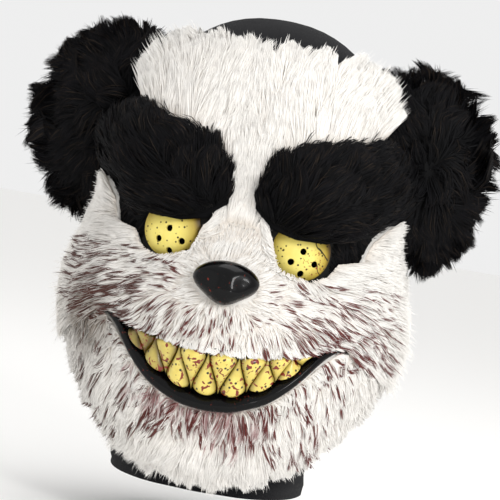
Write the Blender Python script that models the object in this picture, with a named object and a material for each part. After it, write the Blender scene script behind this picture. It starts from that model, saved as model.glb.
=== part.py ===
# Panda costume mask: a hard black face with deep fur, plush ears, domed eyes and moulded teeth, on a hood.
# The face looks along -Y, and +Z is up. The origin is the inner crown of the hood, where the head bears.
import math

import bpy
import numpy as np

# Driving dimensions, in metres
CROWN_RISE = 0.178  # inner crown of the hood above the middle of the nose
FACE_HEIGHT = 0.250  # height of the hard face
HALF_WIDTH = 0.107  # half the width of the hard face
FACE_DEPTH = 0.112  # head axis to the front of the hard face
BACK_DEPTH = 0.098  # head axis to the back of the head
SHELL_WALL = 0.0025
SHELL_TURN = 92.0  # degrees from the middle of the face to its side edge
FABRIC = 0.002
CLEARANCE = 0.0009  # between layers that follow the same curved form
EDGE_GAP = 0.0012  # between pieces that meet edge to edge

MUZZLE_REACH = 0.030
MUZZLE_HALF_WIDTH = 0.064
MUZZLE_HALF_HEIGHT = 0.072
MUZZLE_DROP = 0.022  # middle of the muzzle below the nose
CHEEK_REACH = 0.008
CHEEK_SPAN = 0.052
CHEEK_SPREAD = 0.070  # middle of each cheek from the middle of the face
CHEEK_DROP = 0.018
BROW_REACH = 0.007
BROW_SPAN = 0.050
BROW_SPREAD = 0.050
BROW_RISE = 0.070

FUR = 0.0095  # thickness of the white fur as it lies
BROW_FUR = 0.018
LOCK_SHIFT = 0.0035  # how far a lock's tip leans along the lie of the fur
LOCK_REACH = 0.012  # how far the end locks hang past an edge

EYE_DIAMETER = 0.038
EYE_SPREAD_TURN = 21.8  # degrees from the middle of the face to each eye
EYE_RISE = 0.030
EYE_DOME = 0.007
EYE_WALL = 0.002
EYE_HOLE = 0.0042

NOSE_WIDTH = 0.042
NOSE_HEIGHT = 0.024
NOSE_DEPTH = 0.012
NOSE_PAD = 0.0035  # fur pressed under the nose
NOSE_RIM = 0.0015  # thickness of the nose at its edge
SEAT_GAP = 0.0003  # between a hard piece and what it sits in or on

LIP_DEPTH = 0.009
LIP_TURN = 38.5
TOOTH_DEPTH = 0.0065
TOOTH_PITCH = 7.6  # degrees between neighbouring teeth of one row
TOOTH_SHIFT = -1.0  # degrees, the rows stand a little to one side
LOWER_TEETH = 7
UPPER_TEETH = 7

EAR_WIDTH = 0.078
EAR_HEIGHT = 0.094
EAR_DEPTH = 0.034
EAR_LOCK = 0.013
EAR_SPREAD = 0.100
EAR_RISE = 0.094
EAR_FORWARD = 0.020
EAR_YAW = 10.0

NECK_ROLL = 0.004  # depth of the soft fold under the chin
NECK_FOLD = 0.014  # half the height of that fold
NECK_DROP = 0.138  # hem of the hood below the nose

FORM_TOP = CROWN_RISE + FABRIC + CLEARANCE + SHELL_WALL
DOME_BASE = 0.16 * FACE_HEIGHT
DOME_POWER = 2.3
ROUNDNESS = 2.2

# Sections of the hard face. Heights from the nose are shares of FACE_HEIGHT, half widths of HALF_WIDTH,
# fronts of FACE_DEPTH and backs of BACK_DEPTH.
FACE_SECTIONS = (
    # height, half width, front, back
    (-0.60, 0.58, 0.70, 0.70),
    (-0.46, 0.71, 0.84, 0.72),
    (-0.40, 0.78, 0.91, 0.76),
    (-0.30, 0.89, 0.98, 0.82),
    (-0.20, 0.96, 1.00, 0.88),
    (-0.10, 1.00, 0.98, 0.92),
    (0.00, 1.00, 0.965, 0.96),
    (0.10, 0.97, 0.950, 0.99),
    (0.16, 0.935, 0.960, 1.00),
)

# Sections of the hood below the dome, in the same shares.
HOOD_SECTIONS = (
    # height, half width, front, back
    (-0.60, 0.655, 0.64, 0.68),
    (-0.50, 0.650, 0.66, 0.66),
    (-0.40, 0.665, 0.74, 0.66),
    (-0.30, 0.730, 0.82, 0.71),
    (-0.20, 0.810, 0.87, 0.79),
    (-0.10, 0.880, 0.91, 0.89),
    (0.00, 0.925, 0.94, 0.96),
    (0.10, 0.935, 0.95, 0.99),
    (0.16, 0.935, 0.960, 1.00),
)

# Outline of the hard face: its lowest and highest point at each turn from the middle. Turns are shares of
# SHELL_TURN and heights of FACE_HEIGHT.
SHELL_EDGES = (
    # turn, low, high
    (0.00, -0.416, 0.584),
    (0.17, -0.404, 0.576),
    (0.33, -0.366, 0.548),
    (0.50, -0.294, 0.490),
    (0.65, -0.240, 0.410),
    (0.80, -0.190, 0.320),
    (0.92, -0.150, 0.230),
    (1.00, -0.110, 0.160),
)

# Outline of each brow patch.
BROW_EDGES = (
    # turn, low, high
    (0.052, 0.204, 0.264),
    (0.114, 0.158, 0.332),
    (0.200, 0.144, 0.360),
    (0.300, 0.152, 0.380),
    (0.410, 0.180, 0.396),
    (0.520, 0.208, 0.412),
    (0.620, 0.236, 0.404),
    (0.700, 0.262, 0.368),
)

# Outline of the lip, from the middle of the mouth to its corner. Turns are shares of LIP_TURN.
LIP_EDGES = (
    # turn, low, high
    (0.00, -0.300, -0.268),
    (0.18, -0.296, -0.262),
    (0.36, -0.276, -0.238),
    (0.46, -0.260, -0.218),
    (0.55, -0.236, -0.196),
    (0.64, -0.212, -0.172),
    (0.73, -0.186, -0.146),
    (0.82, -0.160, -0.120),
    (0.91, -0.134, -0.113),
    (1.00, -0.115, -0.109),
)

# Outline of the muzzle and cheek fur: its lower edge follows the mouth and then the seam of the jaw.
MUZZLE_EDGES = (
    # turn, low, high
    (0.000, -0.148, 0.150),
    (0.060, -0.146, 0.150),
    (0.120, -0.143, 0.134),
    (0.143, -0.141, 0.064),
    (0.195, -0.137, 0.042),
    (0.247, -0.132, 0.037),
    (0.300, -0.126, 0.043),
    (0.345, -0.117, 0.060),
    (0.385, -0.109, 0.094),
    (0.430, -0.103, 0.104),
    (0.490, -0.114, 0.108),
    (0.540, -0.132, 0.174),
    (0.630, -0.150, 0.208),
    (0.720, -0.162, 0.224),
    (0.810, -0.166, 0.214),
    (0.900, -0.160, 0.196),
    (1.000, -0.130, 0.160),
)

# Lower edge of the jaw fur, whose upper edge follows the lip and then the seam.
JAW_EDGES = (
    # turn, low
    (0.00, -0.440),
    (0.20, -0.428),
    (0.40, -0.372),
    (0.55, -0.300),
    (0.70, -0.242),
    (0.82, -0.204),
)

# Half width of the forehead fur above the brows.
CREST_EDGES = (
    # height, turn
    (0.440, 0.610),
    (0.490, 0.610),
    (0.540, 0.590),
    (0.575, 0.530),
)

# A tooth from its root to its point.
TOOTH_PROFILE = (
    # length, half width
    (0.00, 0.70),
    (0.10, 1.00),
    (0.35, 0.77),
    (0.65, 0.36),
    (0.88, 0.10),
)

# See-through holes of an eye, in shares of EYE_DIAMETER from its middle.
EYE_HOLES = (
    # across, up
    (0.00, 0.00),
    (-0.17, -0.20),
    (0.23, -0.18),
    (0.03, -0.37),
)

WHITE_FUR = (0.86, 0.83, 0.79)
BLACK_FUR = (0.012, 0.012, 0.014)
BLACK_VINYL = (0.010, 0.010, 0.011)
BLACK_KNIT = (0.014, 0.014, 0.015)
YELLOW_ENAMEL = (0.88, 0.72, 0.20)


def curve(at, table, column, first=0):
    """A smooth curve through one column of a table, over the values of its first column."""
    knots = np.array([row[first] for row in table])
    values = np.array([row[column] for row in table])
    slopes = np.gradient(values, knots)
    at = np.clip(at, knots[0], knots[-1])
    low = np.clip(np.searchsorted(knots, at, side="right") - 1, 0, len(knots) - 2)
    span = knots[low + 1] - knots[low]
    part = (at - knots[low]) / span
    start = (1 + 2 * part) * (1 - part) ** 2 * values[low]
    end = part**2 * (3 - 2 * part) * values[low + 1]
    start_slope = part * (1 - part) ** 2 * span * slopes[low]
    end_slope = part**2 * (part - 1) * span * slopes[low + 1]
    return start + end + start_slope + end_slope


def straight(at, table, column, first=0):
    """Straight runs through one column of a table."""
    return np.interp(at, [row[first] for row in table], [row[column] for row in table])


def bell(share):
    """1 in the middle, falling smoothly to 0 at a share of 1."""
    return np.clip(1 - share**2, 0, 1) ** 2


def ramp(share):
    """0 up to a share of 0, rising smoothly to 1 at a share of 1."""
    share = np.clip(share, 0, 1)
    return share**2 * (3 - 2 * share)


def section_radius(turn, height, sections, inset=0.0):
    """Distance from the head's axis to the plain form: rounded ovals by height, under a dome."""
    share = height / FACE_HEIGHT
    top = FORM_TOP - inset
    dome = np.clip((height - DOME_BASE) / (top - DOME_BASE), 0, 1)
    narrow = (1 - dome**DOME_POWER) ** (1 / DOME_POWER)
    half_width = (curve(share, sections, 1) * HALF_WIDTH - inset) * narrow
    front = (curve(share, sections, 2) * FACE_DEPTH - inset) * narrow
    back = (curve(share, sections, 3) * BACK_DEPTH - inset) * narrow
    depth = np.where(np.cos(turn) > 0, front, back)
    across = np.abs(np.sin(turn)) / np.maximum(half_width, 1e-9)
    along = np.abs(np.cos(turn)) / np.maximum(depth, 1e-9)
    return (across**ROUNDNESS + along**ROUNDNESS) ** (-1 / ROUNDNESS)


def face_radius(turn, height):
    """The plain form with the muzzle, the cheeks and the brow ridges raised on its front."""
    plain = section_radius(turn, height, FACE_SECTIONS)
    across = plain * np.sin(turn)
    muzzle = bell(across / MUZZLE_HALF_WIDTH) * bell((height + MUZZLE_DROP) / MUZZLE_HALF_HEIGHT)
    cheek_across = (np.abs(across) - CHEEK_SPREAD) / CHEEK_SPAN
    cheek = bell(cheek_across) * bell((height + CHEEK_DROP) / CHEEK_SPAN)
    brow_across = (np.abs(across) - BROW_SPREAD) / BROW_SPAN
    brow = bell(brow_across) * bell((height - BROW_RISE) / BROW_SPAN)
    front = ramp(np.cos(turn) / 0.5)
    return plain + front * (MUZZLE_REACH * muzzle + CHEEK_REACH * cheek + BROW_REACH * brow)


def face_point(turn, height, lift=0.0):
    """Points at a turn in radians and a height above the nose, lifted square off the face."""
    turn, height, lift = np.broadcast_arrays(turn, height, lift)

    def place(turn, height):
        radius = face_radius(turn, height)
        return np.stack([radius * np.sin(turn), -radius * np.cos(turn), height - CROWN_RISE], -1)

    step = 1e-4
    along = place(turn + step, height) - place(turn - step, height)
    up = place(turn, height + step) - place(turn, height - step)
    normal = np.cross(along, up)
    normal /= np.linalg.norm(normal, axis=-1, keepdims=True)
    return place(turn, height) + normal * lift[..., None]


def material(name, colour, roughness, coat=0.0):
    """A Principled material of one colour."""
    made = bpy.data.materials.new(name)
    made.use_nodes = True
    shader = made.node_tree.nodes["Principled BSDF"]
    shader.inputs["Base Color"].default_value = (*colour, 1)
    shader.inputs["Roughness"].default_value = roughness
    shader.inputs["Metallic"].default_value = 0.0
    shader.inputs["Coat Weight"].default_value = coat
    made.diffuse_color = (*colour, 1)
    return made


def add_object(name, points, faces, finish):
    """One named object from an array of points and lists of faces, shaded smooth up to a sharp angle."""
    mesh = bpy.data.meshes.new(name)
    mesh.from_pydata(points.reshape(-1, 3).tolist(), [], faces)
    if finish:
        mesh.materials.append(finish)
    mesh.shade_smooth()
    mesh.set_sharp_from_angle(angle=math.radians(50))
    made = bpy.data.objects.new(name, mesh)
    bpy.context.scene.collection.objects.link(made)
    return made


def add_slab(name, outer, inner, finish):
    """A closed slab between two grids of points, rows upward and columns to the viewer's right."""
    rows, columns = outer.shape[:2]
    count = rows * columns
    index = np.arange(count).reshape(rows, columns)
    front = np.stack([index[:-1, :-1], index[:-1, 1:], index[1:, 1:], index[1:, :-1]], -1).reshape(-1, 4)
    rim = np.concatenate([index[0], index[1:, -1], index[-1, -2::-1], index[-2:0:-1, 0]])
    after = np.roll(rim, -1)
    sides = np.stack([rim, rim + count, after + count, after], -1)
    faces = np.concatenate([front, front[:, ::-1] + count, sides]).tolist()
    return add_object(name, np.concatenate([outer.reshape(-1, 3), inner.reshape(-1, 3)]), faces, finish)


def ring_faces(rows, columns, first=0):
    """Faces of a grid that closes on itself sideways, rows upward, seen from outside."""
    index = first + np.arange(rows * columns).reshape(rows, columns)
    beside = np.roll(index, -1, axis=1)
    return np.stack([index[:-1], beside[:-1], beside[1:], index[1:]], -1).reshape(-1, 4).tolist()


def fan_faces(ring, tip):
    """Triangles from a closed ring, listed round its outside, to a tip above it."""
    return [[a, b, tip] for a, b in zip(ring, ring[1:] + ring[:1])]


def add_ball(name, rings, low_tip, high_tip, finish):
    """A closed form from rings of points, rows upward, with a tip at either end."""
    rows, columns = rings.shape[:2]
    points = np.concatenate([rings.reshape(-1, 3), [low_tip, high_tip]])
    low, high = rows * columns, rows * columns + 1
    faces = ring_faces(rows, columns)
    faces += fan_faces(list(range(columns))[::-1], low)
    faces += fan_faces(list(range((rows - 1) * columns, rows * columns)), high)
    return add_object(name, points, faces, finish)


def cut(target, cutter):
    """Takes the cutter's shape out of the target."""
    cutter.hide_render = True
    cutter.display_type = "WIRE"
    modifier = target.modifiers.new("Cut " + cutter.name, "BOOLEAN")
    modifier.operation = "DIFFERENCE"
    modifier.object = cutter


def turned(degrees):
    return math.radians(degrees)


def edge_turns(edges, both_sides=True):
    """The turns of a table of edges in radians, mirrored to both sides."""
    turns = np.array([row[0] for row in edges]) * turned(SHELL_TURN)
    if both_sides:
        return np.concatenate([-turns[:0:-1], turns])
    return turns


def between(low, high, rows):
    """Heights of a grid with equal steps from its low edge to its high edge, a column for each value."""
    share = np.linspace(0, 1, rows)[:, None]
    return low * (1 - share) + high * share


def checker(shape):
    """1 and 0 by turns along rows and columns: where locks rise and where they part."""
    rows, columns = np.indices(shape)
    return ((rows + columns) % 2 == 0).astype(float)


def inside(shape):
    """1 away from the rim of a grid and 0 on it."""
    held = np.zeros(shape)
    held[1:-1, 1:-1] = 1
    return held


def fur_slab(name, turns, heights, lean_turn, lean_up, depth, finish):
    """A slab of fur in overlapping locks: every second point stands up and leans along the lie of the fur."""
    locks = checker(heights.shape)
    lean = locks * inside(heights.shape) * LOCK_SHIFT
    outer_turns = turns + lean * lean_turn / HALF_WIDTH
    outer_heights = heights + lean * lean_up
    lift = CLEARANCE + depth * (0.72 + 0.36 * locks)
    outer = face_point(outer_turns, outer_heights, lift)
    inner = face_point(turns, heights, CLEARANCE)
    return add_slab(name, outer, inner, finish)


def face_shell(finish):
    """The hard face: a wall that follows the face form, with a round opening for each eye."""
    turns = edge_turns(SHELL_EDGES)
    fine = np.interp(np.linspace(0, 1, 25), np.linspace(0, 1, len(turns)), turns)
    share = np.abs(fine) / turned(SHELL_TURN)
    low = curve(share, SHELL_EDGES, 1) * FACE_HEIGHT
    high = curve(share, SHELL_EDGES, 2) * FACE_HEIGHT
    heights = between(low, high, 19)
    fine = np.broadcast_to(fine, heights.shape)
    shell = add_slab("face_shell", face_point(fine, heights), face_point(fine, heights, -SHELL_WALL), finish)
    for side, word in ((-1, "left"), (1, "right")):
        cut(shell, eye_cutter(side, "eye opening " + word))
    return shell


def eye_frame(side):
    """Middle of an eye and its directions across, up and out, as the rows of an array."""
    turn = side * turned(EYE_SPREAD_TURN)
    middle = face_point(turn, EYE_RISE)
    out = face_point(turn, EYE_RISE, 1.0) - middle
    out = out + np.array([0, -1.0, 0])
    out /= np.linalg.norm(out)
    across = np.cross([0, 0, 1.0], out)
    across /= np.linalg.norm(across)
    return middle, np.array([across, np.cross(out, across), out])


def disc_points(radii, depths, segments):
    """Rings round an upright axis, each above the one before, as seen from outside."""
    around = np.linspace(0, 2 * math.pi, segments, endpoint=False)
    radii, depths = np.array(radii)[:, None], np.array(depths)[:, None]
    return np.stack([radii * np.cos(around), radii * np.sin(around), depths + 0 * around], -1)


def eye_cutter(side, name):
    """A drum that clears the shell for an eye disc."""
    middle, frame = eye_frame(side)
    reach = 0.5 * EYE_DIAMETER
    rings = disc_points([0.5 * EYE_DIAMETER + SEAT_GAP] * 2, [-reach, reach], 24) @ frame + middle
    ends = (middle - frame[2] * reach, middle + frame[2] * reach)
    return add_ball(name, rings, *ends, None)


def eye(side, word, finish):
    """A domed disc, hollow behind, drilled with see-through holes."""
    middle, frame = eye_frame(side)
    shares = np.array([1.0, 0.78, 0.54, 0.28])
    radii = shares * EYE_DIAMETER / 2
    front = EYE_DOME * (1 - shares**2)
    back = front - EYE_WALL
    back[0] = -EYE_WALL
    rings = disc_points(
        np.concatenate([radii[::-1] * 0.94, radii]),
        np.concatenate([back[::-1], front]),
        20,
    )
    tips = (middle + frame[2] * (EYE_DOME - EYE_WALL), middle + frame[2] * EYE_DOME)
    made = add_ball("eye_" + word, rings @ frame + middle, *tips, finish)
    points, faces = [], []
    for across, up in EYE_HOLES:
        centre = np.array([across, up, 0]) * EYE_DIAMETER
        drill = disc_points([EYE_HOLE / 2] * 2, [-EYE_DOME, 2 * EYE_DOME], 10) + centre
        first = len(points) * 22
        ends = np.array([centre + [0, 0, -EYE_DOME], centre + [0, 0, 2 * EYE_DOME]])
        points.append(np.concatenate([drill.reshape(-1, 3), ends]) @ frame + middle)
        faces += ring_faces(2, 10, first)
        faces += fan_faces(list(range(first, first + 10))[::-1], first + 20)
        faces += fan_faces(list(range(first + 10, first + 20)), first + 21)
    cut(made, add_object("eye holes " + word, np.array(points), faces, None))
    return made


def forehead_fur(finish):
    """White fur from a narrow strip between the brows, fanning out over the forehead to the crown."""
    gap = EDGE_GAP / HALF_WIDTH
    rows = [(0.150 + EDGE_GAP / FACE_HEIGHT, BROW_EDGES[0][0])]
    rows += [(0.205, BROW_EDGES[0][0])]
    rows += [(row[2], row[0]) for row in BROW_EDGES[:6]]
    rows += list(CREST_EDGES)
    rows = np.array(rows)
    half_turn = rows[:, 1] * turned(SHELL_TURN) - gap
    share = np.linspace(-1, 1, 13)
    turns = half_turn[:, None] * share
    heights = (rows[:, :1] + np.zeros_like(turns)) * FACE_HEIGHT
    heights[-1, 1::2] += LOCK_REACH / 3
    return fur_slab("forehead_fur", turns, heights, 0.4 * share, 0.9, FUR, finish)


def muzzle_fur(finish):
    """White fur over the muzzle and cheeks, lying outward from the nose."""
    turns = edge_turns(MUZZLE_EDGES)
    share = np.abs(turns) / turned(SHELL_TURN)
    low = straight(share, MUZZLE_EDGES, 1) * FACE_HEIGHT
    high = straight(share, MUZZLE_EDGES, 2) * FACE_HEIGHT
    heights = between(low + EDGE_GAP / 2, high - EDGE_GAP / 2, 9)
    turns = np.broadcast_to(turns, heights.shape).copy()
    side = np.sign(turns[:, 0])
    turns[1:-1:2, [0, -1]] += np.stack([side, -side], -1)[1:-1:2] * LOCK_REACH / 2 / HALF_WIDTH
    across = face_radius(turns, heights) * np.sin(turns)
    under_nose = bell(across / NOSE_WIDTH / 1.1) * bell(heights / NOSE_WIDTH / 1.1)
    pressed = np.clip(2.2 * under_nose, 0, 1)
    depth = FUR * (1 - pressed) + NOSE_PAD * pressed
    return fur_slab("muzzle_fur", turns, heights, 0.9 * np.sign(turns), -0.35, depth, finish)


def jaw_top(share):
    """Upper edge of the jaw fur: under the lip as far as the corner of the mouth, then along the seam."""
    lip_share = share * SHELL_TURN / LIP_TURN
    seam = straight(share, MUZZLE_EDGES, 1)
    return np.where(lip_share <= 1, straight(lip_share, LIP_EDGES, 1), seam) * FACE_HEIGHT - EDGE_GAP


def jaw_fur(finish):
    """White fur over the lower jaw, ending in long hanging locks."""
    lip = [row[0] * LIP_TURN / SHELL_TURN for row in LIP_EDGES]
    seam = [row[0] for row in MUZZLE_EDGES if lip[-1] + 0.02 < row[0] < JAW_EDGES[-1][0] - 0.03]
    share = np.array(lip + seam + [JAW_EDGES[-1][0]])
    share = np.concatenate([-share[:0:-1], share])
    turns = share * turned(SHELL_TURN)
    share = np.abs(share)
    low = curve(share, JAW_EDGES, 1) * FACE_HEIGHT
    heights = between(low, jaw_top(share), 7)
    turns = np.broadcast_to(turns, heights.shape)
    heights[0, 1::2] -= LOCK_REACH
    return fur_slab("jaw_fur", turns, heights, 0.35 * np.sign(turns), -0.9, FUR, finish)


def brow_patch(side, word, finish):
    """A thick fur patch, domed across its width, that overhangs the eye below it."""
    turns = edge_turns(BROW_EDGES, both_sides=False)
    gap = EDGE_GAP / 2
    low = np.array([row[1] for row in BROW_EDGES]) * FACE_HEIGHT + gap
    high = np.array([row[2] for row in BROW_EDGES]) * FACE_HEIGHT - gap
    heights = between(low, high, 8)
    turns = np.broadcast_to(turns, heights.shape)
    share = np.linspace(0, 1, 8)[:, None]
    along = np.linspace(0, 1, turns.shape[1])
    domed = np.sin(math.pi * (0.14 + 0.72 * share)) * np.sin(math.pi * (0.2 + 0.6 * along)) ** 0.6
    locks = checker(heights.shape) * inside(heights.shape)
    near_eye = bell((turns - turned(EYE_SPREAD_TURN)) / turned(EYE_SPREAD_TURN) / 0.8)
    near_eye = near_eye * bell(share / 0.6)
    inner_lift = CLEARANCE + EYE_DOME * near_eye
    outer_lift = inner_lift + BROW_FUR * (0.25 + 0.75 * domed) * (1 + 0.14 * locks)
    outer_turns = turns + locks * LOCK_SHIFT / HALF_WIDTH
    outer = face_point(outer_turns, heights - locks * LOCK_SHIFT * 0.3, outer_lift)
    inner = face_point(turns, heights, inner_lift)
    if side < 0:
        flip = np.array([-1, 1, 1])
        outer, inner = outer[:, ::-1] * flip, inner[:, ::-1] * flip
    return add_slab("brow_patch_" + word, outer, inner, finish)


def ear_seat():
    """The form that an ear is cut to: the head, with the fur that lies before and below the ear."""
    turns = np.linspace(-math.pi, math.pi, 72, endpoint=False)
    heights = np.linspace(-0.10 * FACE_HEIGHT, 0.64 * FACE_HEIGHT, 24)[:, None]
    forward = ramp((turned(0.76 * SHELL_TURN) - np.abs(turns)) / turned(6))
    below = ramp((0.27 * FACE_HEIGHT - heights) / FUR) * (np.abs(turns) < math.pi * 0.62)
    lift = SEAT_GAP + (1.12 * FUR + CLEARANCE) * np.maximum(forward, below)
    rings = face_point(turns, heights, lift)
    tips = np.array([[0, 0, heights[0, 0] - CROWN_RISE], [0, 0, heights[-1, 0] - CROWN_RISE]])
    return add_ball("ear seat", rings, *tips, None)


def ear(side, word, seat, finish):
    """A round plush pad with tufts standing out all round it, cut to the side of the head."""
    columns, rows = 22, 9
    around = np.linspace(0, 2 * math.pi, columns, endpoint=False)
    down = np.linspace(0, math.pi, rows + 2)[1:-1, None][::-1]
    spread = np.sin(down) ** 0.8
    tufts = checker((rows, columns)) * EAR_LOCK
    across = (EAR_WIDTH / 2 + tufts) * spread * np.cos(around)
    up = (EAR_HEIGHT / 2 + tufts) * spread * np.sin(around)
    out = (EAR_DEPTH / 2 + 0.35 * tufts) * np.cos(down) + 0 * around
    yaw = turned(EAR_YAW) * side
    frame = np.array(
        [[math.cos(yaw), math.sin(yaw), 0], [0, 0, 1], [math.sin(yaw), -math.cos(yaw), 0]]
    )
    middle = np.array([side * EAR_SPREAD, -EAR_FORWARD, EAR_RISE - CROWN_RISE])
    rings = np.stack([across, up, out], -1) @ frame + middle
    tips = (middle - frame[2] * EAR_DEPTH / 2, middle + frame[2] * EAR_DEPTH / 2)
    made = add_ball("ear_" + word, rings, *tips, finish)
    cut(made, seat)
    return made


def nose(finish):
    """A glossy pad, a rounded triangle wider at its top, on the fur of the muzzle."""
    share = np.linspace(-1, 1, 9)
    up = np.linspace(-1, 1, 7)[:, None]
    half_width = NOSE_WIDTH / 2 * (0.72 + 0.28 * np.tanh(2 * (up + 0.5))) * np.sqrt(1 - 0.72 * up**2)
    heights = up * NOSE_HEIGHT / 2 * (1 - 0.25 * share**2)
    radius = FACE_DEPTH + MUZZLE_REACH
    turns = half_width * share / radius
    crown = np.sqrt(np.clip(1 - share**2, 0, 1)) * np.sqrt(np.clip(1 - up**2, 0, 1))
    base = CLEARANCE + 1.08 * NOSE_PAD + SEAT_GAP
    outer = face_point(turns, heights, base + NOSE_RIM + NOSE_DEPTH * crown**0.8)
    inner = face_point(turns, heights, base)
    return add_slab("nose", outer, inner, finish)


def lower_lip(finish):
    """A rounded crescent from one corner of the mouth to the other."""
    turns = np.array([row[0] for row in LIP_EDGES]) * turned(LIP_TURN)
    turns = np.concatenate([-turns[:0:-1], turns])
    share = np.abs(turns) / turned(LIP_TURN)
    low = straight(share, LIP_EDGES, 1) * FACE_HEIGHT
    high = straight(share, LIP_EDGES, 2) * FACE_HEIGHT
    heights = between(low, high, 5)
    turns = np.broadcast_to(turns, heights.shape)
    up = np.linspace(0, 1, 5)[:, None]
    crown = np.sin(math.pi * (0.12 + 0.76 * up)) * (1 - 0.72 * share**3)
    outer = face_point(turns, heights, CLEARANCE + LIP_DEPTH * crown)
    inner = face_point(turns, heights, CLEARANCE)
    return add_slab("lower_lip", outer, inner, finish)


def tooth(name, middle, row, finish):
    """A tooth whose root follows the edge it grows from, narrowing to a blunt point."""
    length = np.array([stage[0] for stage in TOOTH_PROFILE])[:, None]
    width = np.array([stage[1] for stage in TOOTH_PROFILE])[:, None]
    share = np.array([-1, -0.5, 0.5, 1])
    turns = turned(middle) + 0.40 * turned(TOOTH_PITCH) * width * share
    root_low = straight(np.abs(turns) / turned(LIP_TURN), LIP_EDGES, 2) * FACE_HEIGHT + EDGE_GAP
    root_high = straight(np.abs(turns) / turned(SHELL_TURN), MUZZLE_EDGES, 1) * FACE_HEIGHT - EDGE_GAP
    if row == "lower":
        heights = root_low * (1 - length) + root_high * length
    else:
        heights = root_high * (1 - length) + root_low * length
    crown = np.sqrt(1 - 0.8 * share**2) * (0.35 + 0.65 * width)
    outer = face_point(turns, heights, CLEARANCE + TOOTH_DEPTH * crown)
    inner = face_point(turns, heights, CLEARANCE)
    if row == "upper":
        outer, inner = outer[::-1], inner[::-1]
    return add_slab(name, outer, inner, finish)


def hood(finish):
    """A fabric hood: a dome over the crown, the back of the head and a neck with a soft fold and a hem."""
    columns = 28
    turns = np.linspace(-math.pi, math.pi, columns, endpoint=False)
    below = np.linspace(-NECK_DROP, DOME_BASE, 13)
    rise = np.linspace(0, math.pi / 2, 9)[1:-1]
    fold_low, fold_high = -0.80 * NECK_DROP, -0.93 * NECK_DROP

    def wall(inset):
        top = FORM_TOP - inset
        above = DOME_BASE + (top - DOME_BASE) * np.sin(rise) ** (2 / DOME_POWER)
        heights = np.concatenate([below, above])[:, None]
        radius = section_radius(turns, heights, HOOD_SECTIONS, inset)
        roll = bell((heights - fold_low) / NECK_FOLD) + 0.6 * bell((heights - fold_high) / NECK_FOLD / 0.6)
        radius = radius + NECK_ROLL * roll * (0.6 + 0.4 * np.cos(turns))
        upright = heights + 0 * turns - CROWN_RISE
        rings = np.stack([radius * np.sin(turns), -radius * np.cos(turns), upright], -1)
        return rings, np.array([0, 0, top - CROWN_RISE])

    outer, outer_tip = wall(SHELL_WALL + CLEARANCE)
    inner, inner_tip = wall(SHELL_WALL + CLEARANCE + FABRIC)
    rows = outer.shape[0]
    count = rows * columns
    faces = ring_faces(rows, columns)
    faces += [face[::-1] for face in ring_faces(rows, columns, count)]
    top_ring = list(range(count - columns, count))
    faces += fan_faces(top_ring, 2 * count)
    faces += [face[::-1] for face in fan_faces([i + count for i in top_ring], 2 * count + 1)]
    hem = list(range(columns))
    faces += [[b, a, a + count, b + count] for a, b in zip(hem, hem[1:] + hem[:1])]
    points = np.concatenate([outer.reshape(-1, 3), inner.reshape(-1, 3), [outer_tip, inner_tip]])
    made = add_object("hood", points, faces, finish)
    cut(made, face_opening())
    return made


def face_opening():
    """An oval drum through the front of the hood, inside the outline of the hard face."""
    low = -0.335 * FACE_HEIGHT
    high = 0.52 * FACE_HEIGHT
    around = np.linspace(0, 2 * math.pi, 32, endpoint=False)
    across = 0.80 * HALF_WIDTH * np.cos(around)
    up = (low + high) / 2 + (high - low) / 2 * np.sin(around) - CROWN_RISE
    back = np.stack([across, np.full_like(up, -0.2 * FACE_DEPTH), up], -1)
    front = back - [0, 1.5 * FACE_DEPTH, 0]
    tips = (back.mean(axis=0), front.mean(axis=0))
    return add_ball("face opening", np.stack([back, front]), *tips, None)


def build():
    for old in list(bpy.data.objects):
        bpy.data.objects.remove(old)
    white = material("white_fur", WHITE_FUR, 0.85)
    black = material("black_fur", BLACK_FUR, 0.80)
    vinyl = material("black_vinyl", BLACK_VINYL, 0.35)
    gloss = material("gloss_black", BLACK_VINYL, 0.12, coat=1.0)
    enamel = material("yellow_enamel", YELLOW_ENAMEL, 0.30, coat=0.4)
    knit = material("black_knit", BLACK_KNIT, 0.90)
    face_shell(vinyl)
    hood(knit)
    forehead_fur(white)
    muzzle_fur(white)
    jaw_fur(white)
    nose(gloss)
    lower_lip(gloss)
    seat = ear_seat()
    for side, word in ((-1, "left"), (1, "right")):
        brow_patch(side, word, black)
        ear(side, word, seat, black)
        eye(side, word, enamel)
    for number in range(LOWER_TEETH):
        middle = (number - (LOWER_TEETH - 1) / 2) * TOOTH_PITCH + TOOTH_SHIFT
        tooth(f"tooth_lower_{number + 1}", middle, "lower", enamel)
    for number in range(UPPER_TEETH):
        middle = (number - (UPPER_TEETH - 1) / 2 + 0.5) * TOOTH_PITCH + TOOTH_SHIFT
        tooth(f"tooth_upper_{number + 1}", middle, "upper", enamel)


build()
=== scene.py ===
import math

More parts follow.
